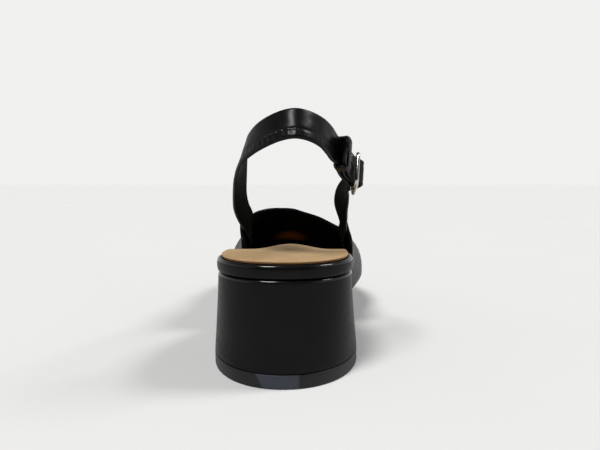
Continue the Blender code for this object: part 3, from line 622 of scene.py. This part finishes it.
def sole_layer(inset, drop):
    """Ring round the sole at a share of its depth."""
    start = BREAST_TOP + GAP
    turns = [turn_at(start)] + [turn for turn in BOARD_TURNS if turn > turn_at(start) + 0.02]
    pairs = []
    for turn in turns:
        share = (1 - cos(turn)) / 2
        offset = mix(-WAIST_INSET, SOLE_MARGIN, read(LAYERS, "margin", share)) - inset
        deep = mix(WAIST_SOLE, SOLE, smoothstep((share - 0.45) / 0.1))
        pairs.append(board_pair(turn, offset, -GAP - drop * deep, start))
    return pairs


def moulded_rubber(name, dark, light, gloss, grain=0.5, depth=0.03):
    """Moulded and buffed rubber: matt, faintly dusty, with a fine grit left by the buffing wheel."""
    material, shader, place = surface(name)
    dust = noise_at(material, place, 6, 6.0)
    grit = noise_at(material, place, grain, 2.0)
    relief = node(material, "Bump", {"Height": grit, "Strength": 0.6, "Distance": depth * MM})
    plug(material, shader, {"Base Color": ramp(material, dust, 0.35, dark, 0.75, light), "Roughness": gloss,
                            "Normal": relief.outputs["Normal"], "Specular IOR Level": 0.35})
    return material



sole_layers = [sole_layer(SOLE_EDGE * inset, 1 - height * SOLE_EDGE / SOLE) for inset, height in rounding(3)]
sole_layers += [sole_layer(0.0, 0.5), sole_layer(0.0, 0.12), sole_layer(0.25, 0.0)]
sole_rubber = moulded_rubber("buffed_sole_rubber", "#161617", "#1d1d1f", gloss=0.55)
outsole = stack("outsole_rubber", sole_layers, [sole_rubber])
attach(outsole, "root")
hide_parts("outsole")

# Heel block
# A moulded block covered with the calf, turned over its top edge and pinched tight at the bottom. Its flat
# front, the breast, stands under the end of the seat.

TOP_PIECE = 5.9
HEEL_BASE_WIDTH = 67.4
HEEL_BASE_DEPTH = 44.1
HEEL_BASE_BACK = -1.9
HEEL_BASE_SQUARENESS = 2.1
HEEL_INSET = 0.4
BREAST_BASE = 50.0
BREAST_CORNER = 1.2
HEEL_TOP_ROUND = 1.3
HEEL_LOW_ROUND = 0.5


def heel_pairs(share, inset, z):
    """Paired points round the heel at a share of its height, drawn in by an inset at its edges."""
    flare = (1 - share) ** 1.3
    half = mix(SEAT_WIDTH / 2 - HEEL_INSET, HEEL_BASE_WIDTH / 2, flare) - inset
    back = mix(HEEL_INSET, HEEL_BASE_BACK, flare) + inset
    deep = mix(SEAT_DEPTH, HEEL_BASE_DEPTH, flare)
    square = mix(SEAT_SQUARENESS, HEEL_BASE_SQUARENESS, flare)
    breast = mix(BREAST_TOP, BREAST_BASE, flare) - inset

    def flank(y, sign):
        board = abs(rim_point(-sign * turn_at(y)).x) - HEEL_INSET - inset
        t = (y - deep) / (breast - deep)
        return mix(board, half * (1 - 0.03 * t * t), flare)

    pairs = []
    for step in range(41):
        angle = pi / 2 * step / 40
        y = back + (deep - back) * (1 - cos(angle) ** (2 / square))
        x = half * sin(angle) ** (2 / square)
        pairs.append([Vector((-x, y, 0)), Vector((x, y, 0))])
    for step in range(1, 9):
        y = mix(deep, breast - BREAST_CORNER, step / 8)
        pairs.append([Vector((-flank(y, -1), y, 0)), Vector((flank(y, 1), y, 0))])
    for step in range(1, 6):
        angle = pi / 2 * step / 5
        y = breast - BREAST_CORNER * (1 - sin(angle))
        draw = BREAST_CORNER * (1 - cos(angle))
        pairs.append([Vector((-flank(y, -1) + draw, y, 0)), Vector((flank(y, 1) - draw, y, 0))])
    for pair in pairs:
        for point in pair:
            point.z = z(point.y)
    return pairs


def heel_layer(share, inset):
    low = TOP_PIECE + GAP
    return heel_pairs(share, inset, lambda y: mix(low, profile(y) - GAP, share))


heel_height = profile(0) - TOP_PIECE - 2 * GAP
heel_layers = [heel_layer(height * HEEL_LOW_ROUND / heel_height, inset * HEEL_LOW_ROUND)
               for inset, height in rounding(3)]
heel_layers += [heel_layer(share, 0.0) for share in (0.06, 0.14, 0.24, 0.36, 0.5, 0.64, 0.78, 0.88, 0.94)]
heel_layers += [heel_layer(1 - height * HEEL_TOP_ROUND / heel_height, inset * HEEL_TOP_ROUND)
                for inset, height in reversed(rounding())]
heel_leather = calf_leather("waxed_calf_heel", "#0a0a0b", "#0f0f10", gloss=0.48, grain=0.7, wax=0.18)
heel_edge = calf_leather("burnished_heel_edge", "#0a0a0b", "#0f0f10", gloss=0.4, wax=0.9, shine=0.12)
heel_block = stack("heel_block_covered", heel_layers, [heel_leather, heel_edge],
                   bands=edge_bands(heel_layers))
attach(heel_block, "root")
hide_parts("heel_block")

# Heel top piece
# A hard rubber lift nailed and glued under the block. Its back edge is already scuffed where it strikes the
# ground, which leaves a paler patch in the middle of the back.

top_rubber = moulded_rubber("hard_top_rubber", "#0d0e12", "#131419", gloss=0.5)
TOP_EDGE = 0.5
top_rings = [(inset * TOP_EDGE, height * TOP_EDGE) for inset, height in rounding(3)]
top_rings += [(0.0, TOP_PIECE * 0.35), (0.0, TOP_PIECE * 0.65)]
top_rings += [(inset * TOP_EDGE, TOP_PIECE - height * TOP_EDGE) for inset, height in reversed(rounding(3))]
top_layers = [heel_pairs(0.0, inset, lambda y, z=z: z) for inset, z in top_rings]

# The scuffed patch, with a slanting left edge and a little dust in its scratches
spot = node(top_rubber, "SeparateXYZ", {"Vector": node(top_rubber, "TexCoord").outputs["Object"]}).outputs
waver = noise_at(top_rubber, None, 5, 3.0)
slant = sums(top_rubber, "MULTIPLY_ADD", spot["Z"], 0.5, spot["X"])
left = spread(top_rubber, sums(top_rubber, "MULTIPLY_ADD", waver, 1.4 * MM, slant), -8.0 * MM, -6.8 * MM)
right = spread(top_rubber, spot["X"], 7.0 * MM, 6.0 * MM)
behind = spread(top_rubber, spot["Y"], -14 * MM, -16 * MM)
worn = sums(top_rubber, "MULTIPLY", sums(top_rubber, "MULTIPLY", left, right), behind)
tint_over(top_rubber, worn, "#343842")
heel_top_piece = stack("heel_top_piece_rubber", top_layers, [top_rubber])
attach(heel_top_piece, "root")
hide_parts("heel_top_piece")

# Sock
# The padded inner sole: undyed leather glued over foam on the whole board. The foam swells up in front of the
# seat, under the arch, and the cut edge of the leather is painted dark brown: a thin line of painted shade
# inside the rim.

SOCK = 1.5
SOCK_EDGE = 0.7
SOCK_INSET = 1.9
PAD_RISE = 3.0
PAD_HALF_WIDTH = 20.0
PAD_OFFSET = 2.0


def sock_layer(inset, rise):
    pairs = []
    for turn in BOARD_TURNS:
        pair = board_pair(turn, -inset, GAP + rise)
        for point in pair:
            point.z += board_thickness(point.y)
        pairs.append(pair)
    return pairs


def pad(spot):
    """Height of the foam pad over the sock's plain top."""
    across = abs(spot.x - PAD_OFFSET) / PAD_HALF_WIDTH
    if across >= 1:
        return 0.0
    share = spot.y / LENGTH
    along = smoothstep((share - 0.13) / 0.1) * (1 - smoothstep((share - 0.3) / 0.16))
    return PAD_RISE * cos(across * pi / 2) ** 2 * along


sock_leather = undyed_leather("undyed_sock_leather", "#c8a87c", "#b9976c", gloss=0.62, grain=0.8, depth=0.02)
# The sock's raw cut edge is painted dark brown as the shade along the sock's edge: painted shade
sock_edge_painted_shade = undyed_leather("cut_edge_of_sock_painted_shade", "#7b5836", "#5f4226", gloss=0.8, grain=0.5, depth=0.05)
sock_layers = [sock_layer(SOCK_INSET, 0.0), sock_layer(SOCK_INSET, SOCK_EDGE)]
sock_layers += [sock_layer(SOCK_INSET + 1.2 * (1 - cos(a)), mix(SOCK_EDGE, SOCK, sin(a)))
                for a in (0.5, 1.0, pi / 2)]
sock = stack("sock_padded", sock_layers, [sock_leather, sock_edge_painted_shade], bands=[0, 1, 0, 0, 0, 0], columns=44,
             crown=pad)
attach(sock, "root")
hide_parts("sock")

# Sling strap
# Two thin strips of the calf sewn back to back round a narrow filler, with one row of thread above its lower
# edge. It runs from inside the inner quarter round the heel, and is folded round the buckle's bar. The slot
# for the prong isn't cut in its fold.

STRAP_BACK_WIDTH = 14.0
STRAP = 1.5
STRAP_BACK = 1.9
STRAP_HEIGHT = 106.5
INNER_FALL = 0.52
OUTER_FALL = 0.455
ROOT_CLEARANCE = 1.3
FRAME_ACROSS = 18.0
FRAME_ALONG = 16.0
FRAME_WIRE = 1.8
FRAME_CORNER = 3.0
FRAME_OFFSET = 4.4
FRAME_SWING = 13.0
BAR_WIRE = 1.4
BAR_DROP = 1.4
STITCH_PITCH = 2.9
SLING_STITCH = 4.0            # row of thread above the lower edge
SLING_ROOT = 14.0             # how far from the root the rows start, and how far before the end they stop
SLING_END = 34.0

# Path of the sling: x in shares of the seat's half-width, station in shares of the length, lean of its width
SLING = table(
    "x station lean",
    (-0.752, 0.368, 0.28), (-0.800, 0.316, 0.40), (-0.807, 0.268, 0.50), (-0.774, 0.228, 0.52),
    (-0.730, 0.188, 0.50), (-0.680, 0.148, 0.44), (-0.622, 0.114, 0.34), (-0.542, 0.082, 0.20),
    (-0.414, 0.056, 0.07), (-0.243, 0.034, 0.00), (-0.033, 0.016, 0.00), (0.164, 0.009, 0.00),
    (0.345, 0.017, 0.00), (0.505, 0.035, 0.06), (0.615, 0.058, 0.14), (0.705, 0.084, 0.16),
)
SLING_AT_BUCKLE = table("x station", (0.836, 0.120), (0.938, 0.180))

# Straps at the buckle: along in shares of the frame's reach from its bar, away in shares of one strap's layer
SLING_BEHIND_BAR = table(
    "along away",
    (3.10, -2.50), (2.32, -2.20), (1.55, -2.00), (0.98, -1.42), (0.48, -0.56),
)
SLING_TAIL = table("along away", (0.48, -1.93), (1.00, -2.62), (1.60, -3.12), (2.30, -3.36))
BILLET_AT_BAR = table(
    "along away",
    (-1.62, -2.72), (-1.03, -2.40), (-0.69, -1.11), (-0.44, 0.42), (0.00, 1.66), (0.36, 1.16), (0.66, 0.14),
    (0.97, -0.38), (1.55, -0.88), (2.15, -1.08), (3.20, -1.42),
)


def sling_height(station, fall):
    return STRAP_HEIGHT - fall * (station - 0.008 * LENGTH)


buckle_ends = [Vector((row["x"] * SEAT_WIDTH / 2, row["station"] * LENGTH,
                       sling_height(row["station"] * LENGTH, OUTER_FALL))) for row in SLING_AT_BUCKLE]
back = (buckle_ends[0] - buckle_ends[1]).normalized()
out = Vector((-back.y, back.x, 0)).normalized()
across = out.cross(back).normalized()
across = -across if across.z < 0 else across
buckle_middle = buckle_ends[1] + out * FRAME_OFFSET


def at_buckle(back_by, out_by, across_by=0.0):
    """Point from distances back along the strap, outwards and up across it, from the buckle's middle."""
    return buckle_middle + back * back_by + out * out_by + across * across_by


def in_frame(back_by, out_by, across_by=0.0):
    """The same in the buckle's frame, which swings out at its back end."""
    swing = radians(FRAME_SWING)
    return at_buckle(back_by * cos(swing) - out_by * sin(swing), back_by * sin(swing) + out_by * cos(swing),
                     across_by)


def row_at(row):
    return row["along"] * (FRAME_ALONG - FRAME_WIRE) / 2, row["away"] * (STRAP + GAP)


def wall_at(side, station, height):
    """Point and unit outward normal on the inside of a quarter, found by its side view."""
    best = None
    grid = ribs[side][VAMP_RIBS:]
    for i in range(1, len(grid) - 1):
        for j in range(len(RIB_LOW), len(grid[i]) - 1):
            for t in (0.0, 0.5):
                point = grid[i][j].lerp(grid[i][j + 1], t)
                far = (point.y - station) ** 2 + (point.z - height) ** 2
                if best is None or far < best[0]:
                    best = (far, point, (grid[i + 1][j] - grid[i - 1][j]).cross(grid[i][j + 1] - grid[i][j]))
    normal = best[2].normalized()
    return Vector((best[1].x, station, height)), -normal if normal.x * side < 0 else normal


def root_row(side, station, height, lean):
    """Row of a strap's root, which lies flat inside its quarter."""
    spot, normal = wall_at(side, station, height)
    return (spot - normal * (ROOT_CLEARANCE + GAP + STRAP / 2),
            (lean - normal * lean.dot(normal)).normalized(), STRAP_WIDTH, STRAP)


def smooth_rows(rows, fineness):
    """Strap rows (middle, width direction, width, thickness) on a smooth curve, as frames with a length."""
    flat = [[*row[0], *row[1], row[2], row[3]] for row in rows]
    dense = []
    for i in range(len(flat) - 1):
        before, after = flat[max(i - 1, 0)], flat[min(i + 2, len(flat) - 1)]
        for step in range(fineness):
            t = step / fineness
            values = []
            for p0, p1, p2, p3 in zip(before, flat[i], flat[i + 1], after):
                bend, twist = 2 * p0 - 5 * p1 + 4 * p2 - p3, 3 * p1 - p0 - 3 * p2 + p3
                values.append(p1 + 0.5 * t * (p2 - p0 + t * (bend + t * twist)))
            dense.append(values)
    dense.append(flat[-1])
    middles = [Vector(values[:3]) for values in dense]
    frames, run = [], 0.0
    for i, values in enumerate(dense):
        along = (middles[min(i + 1, len(dense) - 1)] - middles[max(i - 1, 0)]).normalized()
        wide = Vector(values[3:6])
        wide = (wide - along * wide.dot(along)).normalized()
        run += (middles[i] - middles[i - 1]).length if i else 0.0
        frames.append((middles[i], along, wide, along.cross(wide), values[6] / 2, values[7] / 2, run))
    return frames


def loft(rings, looped=False):
    """Points and faces of a skin over rings of points, closed at its ends unless it is looped."""
    size = len(rings[0])
    points = [point for ring in rings for point in ring]
    faces = []
    for i in range(len(rings) if looped else len(rings) - 1):
        k = (i + 1) % len(rings)
        for j in range(size):
            faces.append((i * size + j, i * size + (j + 1) % size, k * size + (j + 1) % size, k * size + j))
    if not looped:
        faces += [tuple(range(size)), tuple(range((len(rings) - 1) * size, len(rings) * size))[::-1]]
    return points, faces


def wire(spots, radius, looped, sides=14):
    """Rings of a round wire along points."""
    rings, last = [], None
    count = len(spots)
    for i, spot in enumerate(spots):
        before = spots[i - 1] if looped or i else spots[0]
        after = spots[(i + 1) % count] if looped or i < count - 1 else spots[-1]
        along = (after - before).normalized()
        last = last or (across if abs(along.dot(across)) < 0.9 else out)
        first = (last - along * last.dot(along)).normalized()
        second = along.cross(first)
        rings.append([spot + (first * cos(2 * pi * k / sides) + second * sin(2 * pi * k / sides)) * radius
                      for k in range(sides)])
        last = first
    return rings


def join(*parts):
    """Points and faces of several skins as one."""
    points, faces = [], []
    for more_points, more_faces in parts:
        faces += [tuple(i + len(points) for i in face) for face in more_faces]
        points += more_points
    return points, faces


STRAP_COLUMNS = 26
EDGE_COLUMNS = 5


def strap_ring(frame, side, relief):
    """Loop round a strap: its worked outer face, a rounded edge, the flat lining and the other edge."""
    middle, along, wide, thick, half, deep, run = frame
    edge = min(deep * 0.95, half * 0.5)
    ring = []
    for k in range(STRAP_COLUMNS + 1):
        w = mix(half - edge, edge - half, k / STRAP_COLUMNS)
        ring.append(middle + wide * w + thick * side * (deep + relief(run, w, half)))
    for k in range(1, EDGE_COLUMNS):
        angle = pi * k / EDGE_COLUMNS
        ring.append(middle + wide * (edge - half - edge * sin(angle)) + thick * side * deep * cos(angle))
    for k in range(STRAP_COLUMNS + 1):
        w = mix(edge - half, half - edge, k / STRAP_COLUMNS)
        ring.append(middle + wide * w - thick * side * deep)
    for k in range(1, EDGE_COLUMNS):
        angle = pi * k / EDGE_COLUMNS
        ring.append(middle + wide * (half - edge + edge * sin(angle)) - thick * side * deep * cos(angle))
    return ring


def on_strap(frames, run, w, side, lift):
    """Point at a length along a strap, a distance across it and a height over its face."""
    k = max(i for i, frame in enumerate(frames[:-1]) if frame[6] <= run)
    a, b = frames[k], frames[k + 1]
    t = (run - a[6]) / max(b[6] - a[6], 1e-6)
    thick = a[3].lerp(b[3], t).normalized()
    return a[0].lerp(b[0], t) + a[2].lerp(b[2], t) * w + thick * side * (mix(a[5], b[5], t) + lift)


def seam(place, first, last, length=2.1, radius=0.26):
    """A row of stitches: each a short bar of thread that dips into the leather at both ends."""
    stitches = []
    for n in range(int((last - first) / STITCH_PITCH)):
        start = first + n * STITCH_PITCH
        spots = [place(start + length * t, -radius * 1.5 * abs(2 * t - 1) ** 3)
                 for t in (0, 0.12, 0.35, 0.65, 0.88, 1)]
        stitches.append(loft(wire(spots, radius, False, sides=6)))
    return join(*stitches)


def strap(name, frames, side, relief, materials, thread):
    """A strap along its frames, with its outer face, its painted edges, its lining and its thread."""
    rings = [strap_ring(frame, side, relief) for frame in frames]
    points, faces = loft(rings)
    size = len(rings[0])
    looks = []
    for i in range(len(rings) - 1):
        for j in range(size):
            face = j < STRAP_COLUMNS
            lining = STRAP_COLUMNS + EDGE_COLUMNS <= j < 2 * STRAP_COLUMNS + EDGE_COLUMNS
            looks.append(0 if face else 2 if lining else 1)
    looks += [1, 1] + [3] * len(thread[1])
    points, faces = join((points, faces), thread)
    return make(name, points, faces, materials, looks)


sling_rows = []
for share in (0.472, 0.448, 0.424, 0.400):
    station = share * LENGTH
    sling_rows.append(root_row(-1, station, sling_height(station, INNER_FALL), Vector((0.30, 0.44, 0.84))))
for row in SLING:
    station = row["station"] * LENGTH
    fall = INNER_FALL if row["x"] < 0.1 else OUTER_FALL
    near = 1 - smoothstep(row["station"] / 0.16)
    sling_rows.append((Vector((row["x"] * SEAT_WIDTH / 2, station, sling_height(station, fall))),
                       Vector((row["lean"], 0.47, 0.88)).normalized(),
                       mix(STRAP_WIDTH, STRAP_BACK_WIDTH, near), mix(STRAP, STRAP_BACK, near)))
bend = BAR_WIRE / 2 + GAP + STRAP / 2
fold = [row_at(row) for row in SLING_BEHIND_BAR]
fold += [(bend * cos(pi / 2 + pi * k / 4), bend * sin(pi / 2 + pi * k / 4) - BAR_DROP) for k in range(5)]
fold += [row_at(row) for row in SLING_TAIL]
sling_rows += [(at_buckle(along, away), across, STRAP_WIDTH, STRAP) for along, away in fold]
sling_frames = smooth_rows(sling_rows, 10)


def sling_relief(run, w, half):
    """The sewn trough above the lower edge, and the leather gathered below it by each stitch."""
    low = w + half
    trough = -0.30 * exp(-((low - SLING_STITCH) / 0.55) ** 2)
    gathered = sin(2 * pi * run / STITCH_PITCH) * exp(-((low - 2.4) / 1.2) ** 2)
    pucker = 0.2 * (0.6 + noise.noise(Vector((run / 9, 0, 4)))) * gathered
    lumps = 0.16 * noise.noise(Vector((run / 5.0, w / 4.0, 1.7)))
    crown = 0.12 * (1 - (w / half) ** 2)
    return trough + pucker + lumps + crown


strap_leather = calf_leather("waxed_calf_strap", "#0b0b0c", "#101012", gloss=0.44, grain=0.9, depth=0.03,
                             wax=0.35, shine=0.3)
edge_paint = calf_leather("painted_strap_edge", "#0a0a0a", "#0e0e0f", gloss=0.45, grain=0.5)
strap_lining = calf_leather("strap_lining_leather", "#0b0b0b", "#101010", gloss=0.6, grain=0.6, wax=0.0)
thread = calf_leather("black_polyester_thread", "#0d0d0e", "#141416", gloss=0.4, grain=0.3, depth=0.05,
                      specular=0.2)
sling_length = sling_frames[-1][6]
sling_thread = [seam(lambda run, lift, w=w, sunk=sunk: on_strap(sling_frames, run, w, 1, lift - sunk),
                     SLING_ROOT, sling_length - SLING_END)
                for w, sunk in ((SLING_STITCH - STRAP_BACK_WIDTH / 2, 0.12), (1.1 - STRAP_WIDTH / 2, 0.1))]
sling = strap("sling_strap_leather", sling_frames, 1, sling_relief,
              [strap_leather, edge_paint, strap_lining, thread], join(*sling_thread))
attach(sling, "root")
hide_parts("sling_strap")

# Buckle strap
# The billet, made as the sling is: it comes out of the outer quarter, passes up through the buckle over its
# bar, and ends in a rounded tip. Its two free holes are punched; the one under the prong isn't cut.

TIP_REACH = 31.0
TIP_FLARE = 2.2
TIP_LIFT = 1.2
HOLE = 2.0
HOLE_STEP = 7.0
BILLET = table(
    "x station height lean",
    (0.970, 0.360, 0.582, -0.40), (0.940, 0.328, 0.628, -0.56), (0.925, 0.292, 0.675, -0.52),
    (0.940, 0.256, 0.720, -0.36),
)
billet_rows = []
for share, rise in ((0.440, 0.432), (0.420, 0.474), (0.400, 0.518)):
    billet_rows.append(root_row(1, share * LENGTH, rise * STRAP_HEIGHT, Vector((-0.34, 0.56, 0.76))))
for row in BILLET:
    middle = Vector((row["x"] * SEAT_WIDTH / 2, row["station"] * LENGTH, row["height"] * STRAP_HEIGHT))
    billet_rows.append((middle, Vector((row["lean"], 0.50, 0.82)).normalized(), STRAP_WIDTH, STRAP))
for row in BILLET_AT_BAR:
    billet_rows.append((at_buckle(*row_at(row)), across, STRAP_WIDTH, STRAP))
tip_start, tip_level = row_at(BILLET_AT_BAR[-1])
for step in range(1, 9):
    angle = pi / 2 * step / 8
    off = sin(angle) ** 2
    middle = at_buckle(mix(tip_start, TIP_REACH, sin(angle)), tip_level + TIP_FLARE * off, TIP_LIFT * off)
    billet_rows.append((middle, across, STRAP_WIDTH * max(cos(angle) ** 0.8, 0.2), STRAP))
billet_frames = smooth_rows(billet_rows, 8)


def billet_relief(run, w, half):
    """Sewn troughs along both edges."""
    trough = -0.2 * (exp(-((half - abs(w) - 2.2) / 0.45) ** 2)) if half > 5.5 else 0.0
    return trough + 0.08 * noise.noise(Vector((run / 4.0, w / 3.0, 6.1)))


def punch(piece, holes):
    """Punch holes through a strap."""
    tools = []
    for middle, radius, half in holes:
        rings = [[middle + out * half * end
                  + (back * cos(2 * pi * k / 20) + across * sin(2 * pi * k / 20)) * radius
                  for k in range(20)] for end in (-1, 1)]
        tool = make("hole_punch", *loft(rings), [edge_paint])
        cut = piece.modifiers.new("hole", "BOOLEAN")
        cut.operation, cut.object = "DIFFERENCE", tool
        tools.append(tool)
    bpy.context.view_layer.update()
    punched = bpy.data.meshes.new_from_object(piece.evaluated_get(bpy.context.evaluated_depsgraph_get()))
    piece.modifiers.clear()
    piece.data = punched
    for tool in tools:
        bpy.data.objects.remove(tool)


billet_thread = [seam(lambda run, lift, w=w: on_strap(billet_frames, run, w, -1, lift - 0.1),
                      12.0, billet_frames[-1][6] - 9.0)
                 for w in (2.2 - STRAP_WIDTH / 2, STRAP_WIDTH / 2 - 2.2)]
billet = strap("buckle_strap_leather", billet_frames, -1, billet_relief,
               [strap_leather, edge_paint, strap_lining, thread], join(*billet_thread))
in_use = row_at(BILLET_AT_BAR[3])[0]
punch(billet, [(at_buckle(in_use - HOLE_STEP, row_at(BILLET_AT_BAR[0])[1]), HOLE / 2, 3.0),
               (at_buckle(in_use + 2 * HOLE_STEP, row_at(BILLET_AT_BAR[9])[1]), HOLE / 2, 1.2)])
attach(billet, "root")
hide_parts("buckle_strap")

# Keeper
# A narrow leather loop, glued and stitched at the back, which slides on the sling and holds the billet's tip.

KEEPER_START = 19.0
KEEPER_WIDTH = 4.4
KEEPER_WALL = 1.2
KEEPER_TILT = -8.0


def keeper_ring(turn):
    """Loop round the band's own section, at an angle round the keeper."""
    half_w = STRAP_WIDTH / 2 + GAP + KEEPER_WALL / 2
    top = row_at(BILLET_AT_BAR[-1])[1] + STRAP / 2 + 2 * GAP + KEEPER_WALL / 2
    bottom = row_at(SLING_BEHIND_BAR[0])[1] - STRAP / 2 - 2 * GAP - KEEPER_WALL / 2
    half_n, middle_n, corner = (top - bottom) / 2, (top + bottom) / 2, 1.1
    quadrant = int(turn // (pi / 2)) % 4
    w = (half_w - corner) * (1 if quadrant in (0, 3) else -1) + corner * cos(turn)
    n = (half_n - corner) * (1 if quadrant in (0, 1) else -1) + corner * sin(turn)
    tilt = radians(KEEPER_TILT)
    tilted_back, tilted_out = back * cos(tilt) + out * sin(tilt), out * cos(tilt) - back * sin(tilt)
    middle = at_buckle(KEEPER_START + KEEPER_WIDTH / 2, middle_n) + across * w + tilted_out * n
    normal = across * cos(turn) + tilted_out * sin(turn)
    ring = []
    for k in range(16):
        angle = 2 * pi * k / 16
        flat_u = abs(cos(angle)) ** 0.5 * (1 if cos(angle) > 0 else -1)
        flat_n = abs(sin(angle)) ** 0.5 * (1 if sin(angle) > 0 else -1)
        ring.append(middle + tilted_back * flat_u * KEEPER_WIDTH / 2 + normal * flat_n * KEEPER_WALL / 2)
    return ring


keeper_turns = []
for quadrant in range(4):
    keeper_turns += [pi / 2 * (quadrant + k / 6) + (1e-6 if k == 0 else -1e-6 if k == 6 else 0)
                     for k in range(7)]
keeper_points, keeper_faces = loft([keeper_ring(turn) for turn in keeper_turns], looped=True)
keeper = make("keeper_leather", keeper_points, keeper_faces, [strap_leather])
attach(keeper, "root")
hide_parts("keeper")

# Buckle frame
# Zinc wire cast to a rounded rectangle with its bar, polished and nickel plated.


def plated_nickel(name, bright, gloss):
    """Nickel plate over polished zinc: a warm grey mirror, softened by fine rubbing marks."""
    material, shader, place = surface(name)
    marks = noise_at(material, place, 1.1, 4.0)
    polish = spread(material, marks, 0.3, 0.7, to_min=gloss - 0.06, to_max=gloss + 0.08)
    plug(material, shader, {"Base Color": linear(bright), "Metallic": 1.0, "Roughness": polish})
    return material



half_w = (FRAME_ACROSS - FRAME_WIRE) / 2
half_u = (FRAME_ALONG - FRAME_WIRE) / 2
frame_spots = []
for quadrant in range(4):
    cu = (half_u - FRAME_CORNER) * (1 if quadrant in (0, 3) else -1)
    cw = (half_w - FRAME_CORNER) * (1 if quadrant in (0, 1) else -1)
    for step in range(9):
        angle = pi / 2 * (quadrant + step / 8)
        frame_spots.append(in_frame(cu + FRAME_CORNER * cos(angle), 0.0, cw + FRAME_CORNER * sin(angle)))
bar_spots = [at_buckle(0.0, -BAR_DROP, (half_w + 0.2) * share) for share in (-1, -0.5, 0, 0.5, 1)]
nickel = plated_nickel("nickel_plated_zinc", "#c9c5bb", 0.2)
frame_points, frame_faces = join(loft(wire(frame_spots, FRAME_WIRE / 2, True), looped=True),
                                 loft(wire(bar_spots, BAR_WIRE / 2, False)))
buckle_frame = make("buckle_frame_nickel", frame_points, frame_faces, [nickel])
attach(buckle_frame, "root")
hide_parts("buckle_frame")

# Buckle prong
# A nickel-plated steel wire, curled round the bar and laid over the frame's end.

PRONG_WIRE = 1.0
curl = BAR_WIRE / 2 + GAP + PRONG_WIRE / 2
rest = FRAME_WIRE / 2 + GAP + PRONG_WIRE / 2
prong_spots = [at_buckle(curl * cos(angle), curl * sin(angle) - BAR_DROP)
               for angle in [radians(-200 + 335 * k / 20) for k in range(21)]]
prong_spots += [in_frame(-half_u * 0.55, rest * 0.75), in_frame(-half_u, rest),
                in_frame(-half_u - FRAME_WIRE, rest)]
prong_points, prong_faces = loft(wire(prong_spots, PRONG_WIRE / 2, False, sides=10))
prong = make("buckle_prong_nickel", prong_points, prong_faces, [nickel])
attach(prong, "root")
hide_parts("buckle_prong")

# Floor
# A wide sheet of white paper that the shoe stands on.

paper, paper_shader, paper_place = surface("white_paper")
paper_cloud = node(paper, "TexNoise", {"Vector": paper_place, "Scale": 6.0, "Detail": 3.0}).outputs["Fac"]
plug(paper, paper_shader, {"Base Color": ramp(paper, paper_cloud, 0.0, "#f2f2f1", 1.0, "#f6f6f5"),
                           "Roughness": 0.9, "Specular IOR Level": 0.1})
floor_mesh = bpy.data.meshes.new("floor")
floor_mesh.from_pydata([(-6, -6, 0), (6, -6, 0), (6, 6, 0), (-6, 6, 0)], [], [(0, 1, 2, 3)])
floor_mesh.materials.append(paper)
floor = bpy.data.objects.new("floor", floor_mesh)
bpy.context.scene.collection.objects.link(floor)

# Light
# A white room that is dimmer behind the camera, and two large soft lamps: high up behind it on the left, and
# high up on the right.

ROOM_DIM = 0.03                # strength behind the camera, and at the sides
ROOM_LIGHT = 0.6
ROOM_CEILING = 0.1

scene = bpy.context.scene
scene.view_settings.view_transform = "Standard"
room = bpy.data.worlds.new("white_room")
room.use_nodes = True
scene.world = room
direction = node(room, "SeparateXYZ", {"Vector": node(room, "TexCoord").outputs["Generated"]})
walls = node(room, "MapRange", {"Value": direction.outputs["Y"], "From Min": -0.8, "From Max": -0.45,
                                "To Min": ROOM_DIM, "To Max": ROOM_LIGHT}, interpolation_type="SMOOTHSTEP")
ceiling = node(room, "MapRange", {"Value": direction.outputs["Z"], "From Min": 0.25, "From Max": 0.6,
                                  "To Min": walls.outputs["Result"], "To Max": ROOM_CEILING})
seen = node(room, "LightPath").outputs["Is Camera Ray"]
strength = node(room, "MapRange", {"Value": seen, "To Min": ceiling.outputs["Result"], "To Max": 0.9})
room_shader = room.node_tree.nodes["Background"]
room_shader.inputs["Color"].default_value = linear("#fcfcfb")
room.node_tree.links.new(strength.outputs["Result"], room_shader.inputs["Strength"])


def soft_sun(name, azimuth, elevation, softness, strength):
    """Broad even light from an azimuth, from behind the camera to the right, and an elevation in degrees."""
    light = bpy.data.lights.new(name, "SUN")
    light.angle = radians(softness)
    light.energy = strength
    lamp = bpy.data.objects.new(name, light)
    side, high = radians(azimuth), radians(elevation)
    source = Vector((sin(side) * cos(high), -cos(side) * cos(high), sin(high)))
    lamp.rotation_euler = source.to_track_quat("Z", "Y").to_euler()
    scene.collection.objects.link(lamp)


soft_sun("lamp_left", -34, 60, 18, 1.9)
soft_sun("lamp_right", 100, 50, 18, 1.1)

# Camera
# Close behind the heel and a little above it, as in the photograph.

FOCAL = 529.6                 # focal length in pixels of a picture 600 pixels wide
YAW, PITCH = 0.008, 0.089
CAMERA_PLACE = (0.00861, -0.232, 0.08505)
camera = bpy.data.objects.new("camera", bpy.data.cameras.new("camera"))
camera.data.sensor_width = 36
camera.data.lens = FOCAL / 600 * 36
looking = Vector((-sin(YAW) * cos(PITCH), cos(YAW) * cos(PITCH), -sin(PITCH)))
camera.rotation_euler = looking.to_track_quat("-Z", "Y").to_euler()
camera.location = CAMERA_PLACE
scene.collection.objects.link(camera)
scene.camera = camera
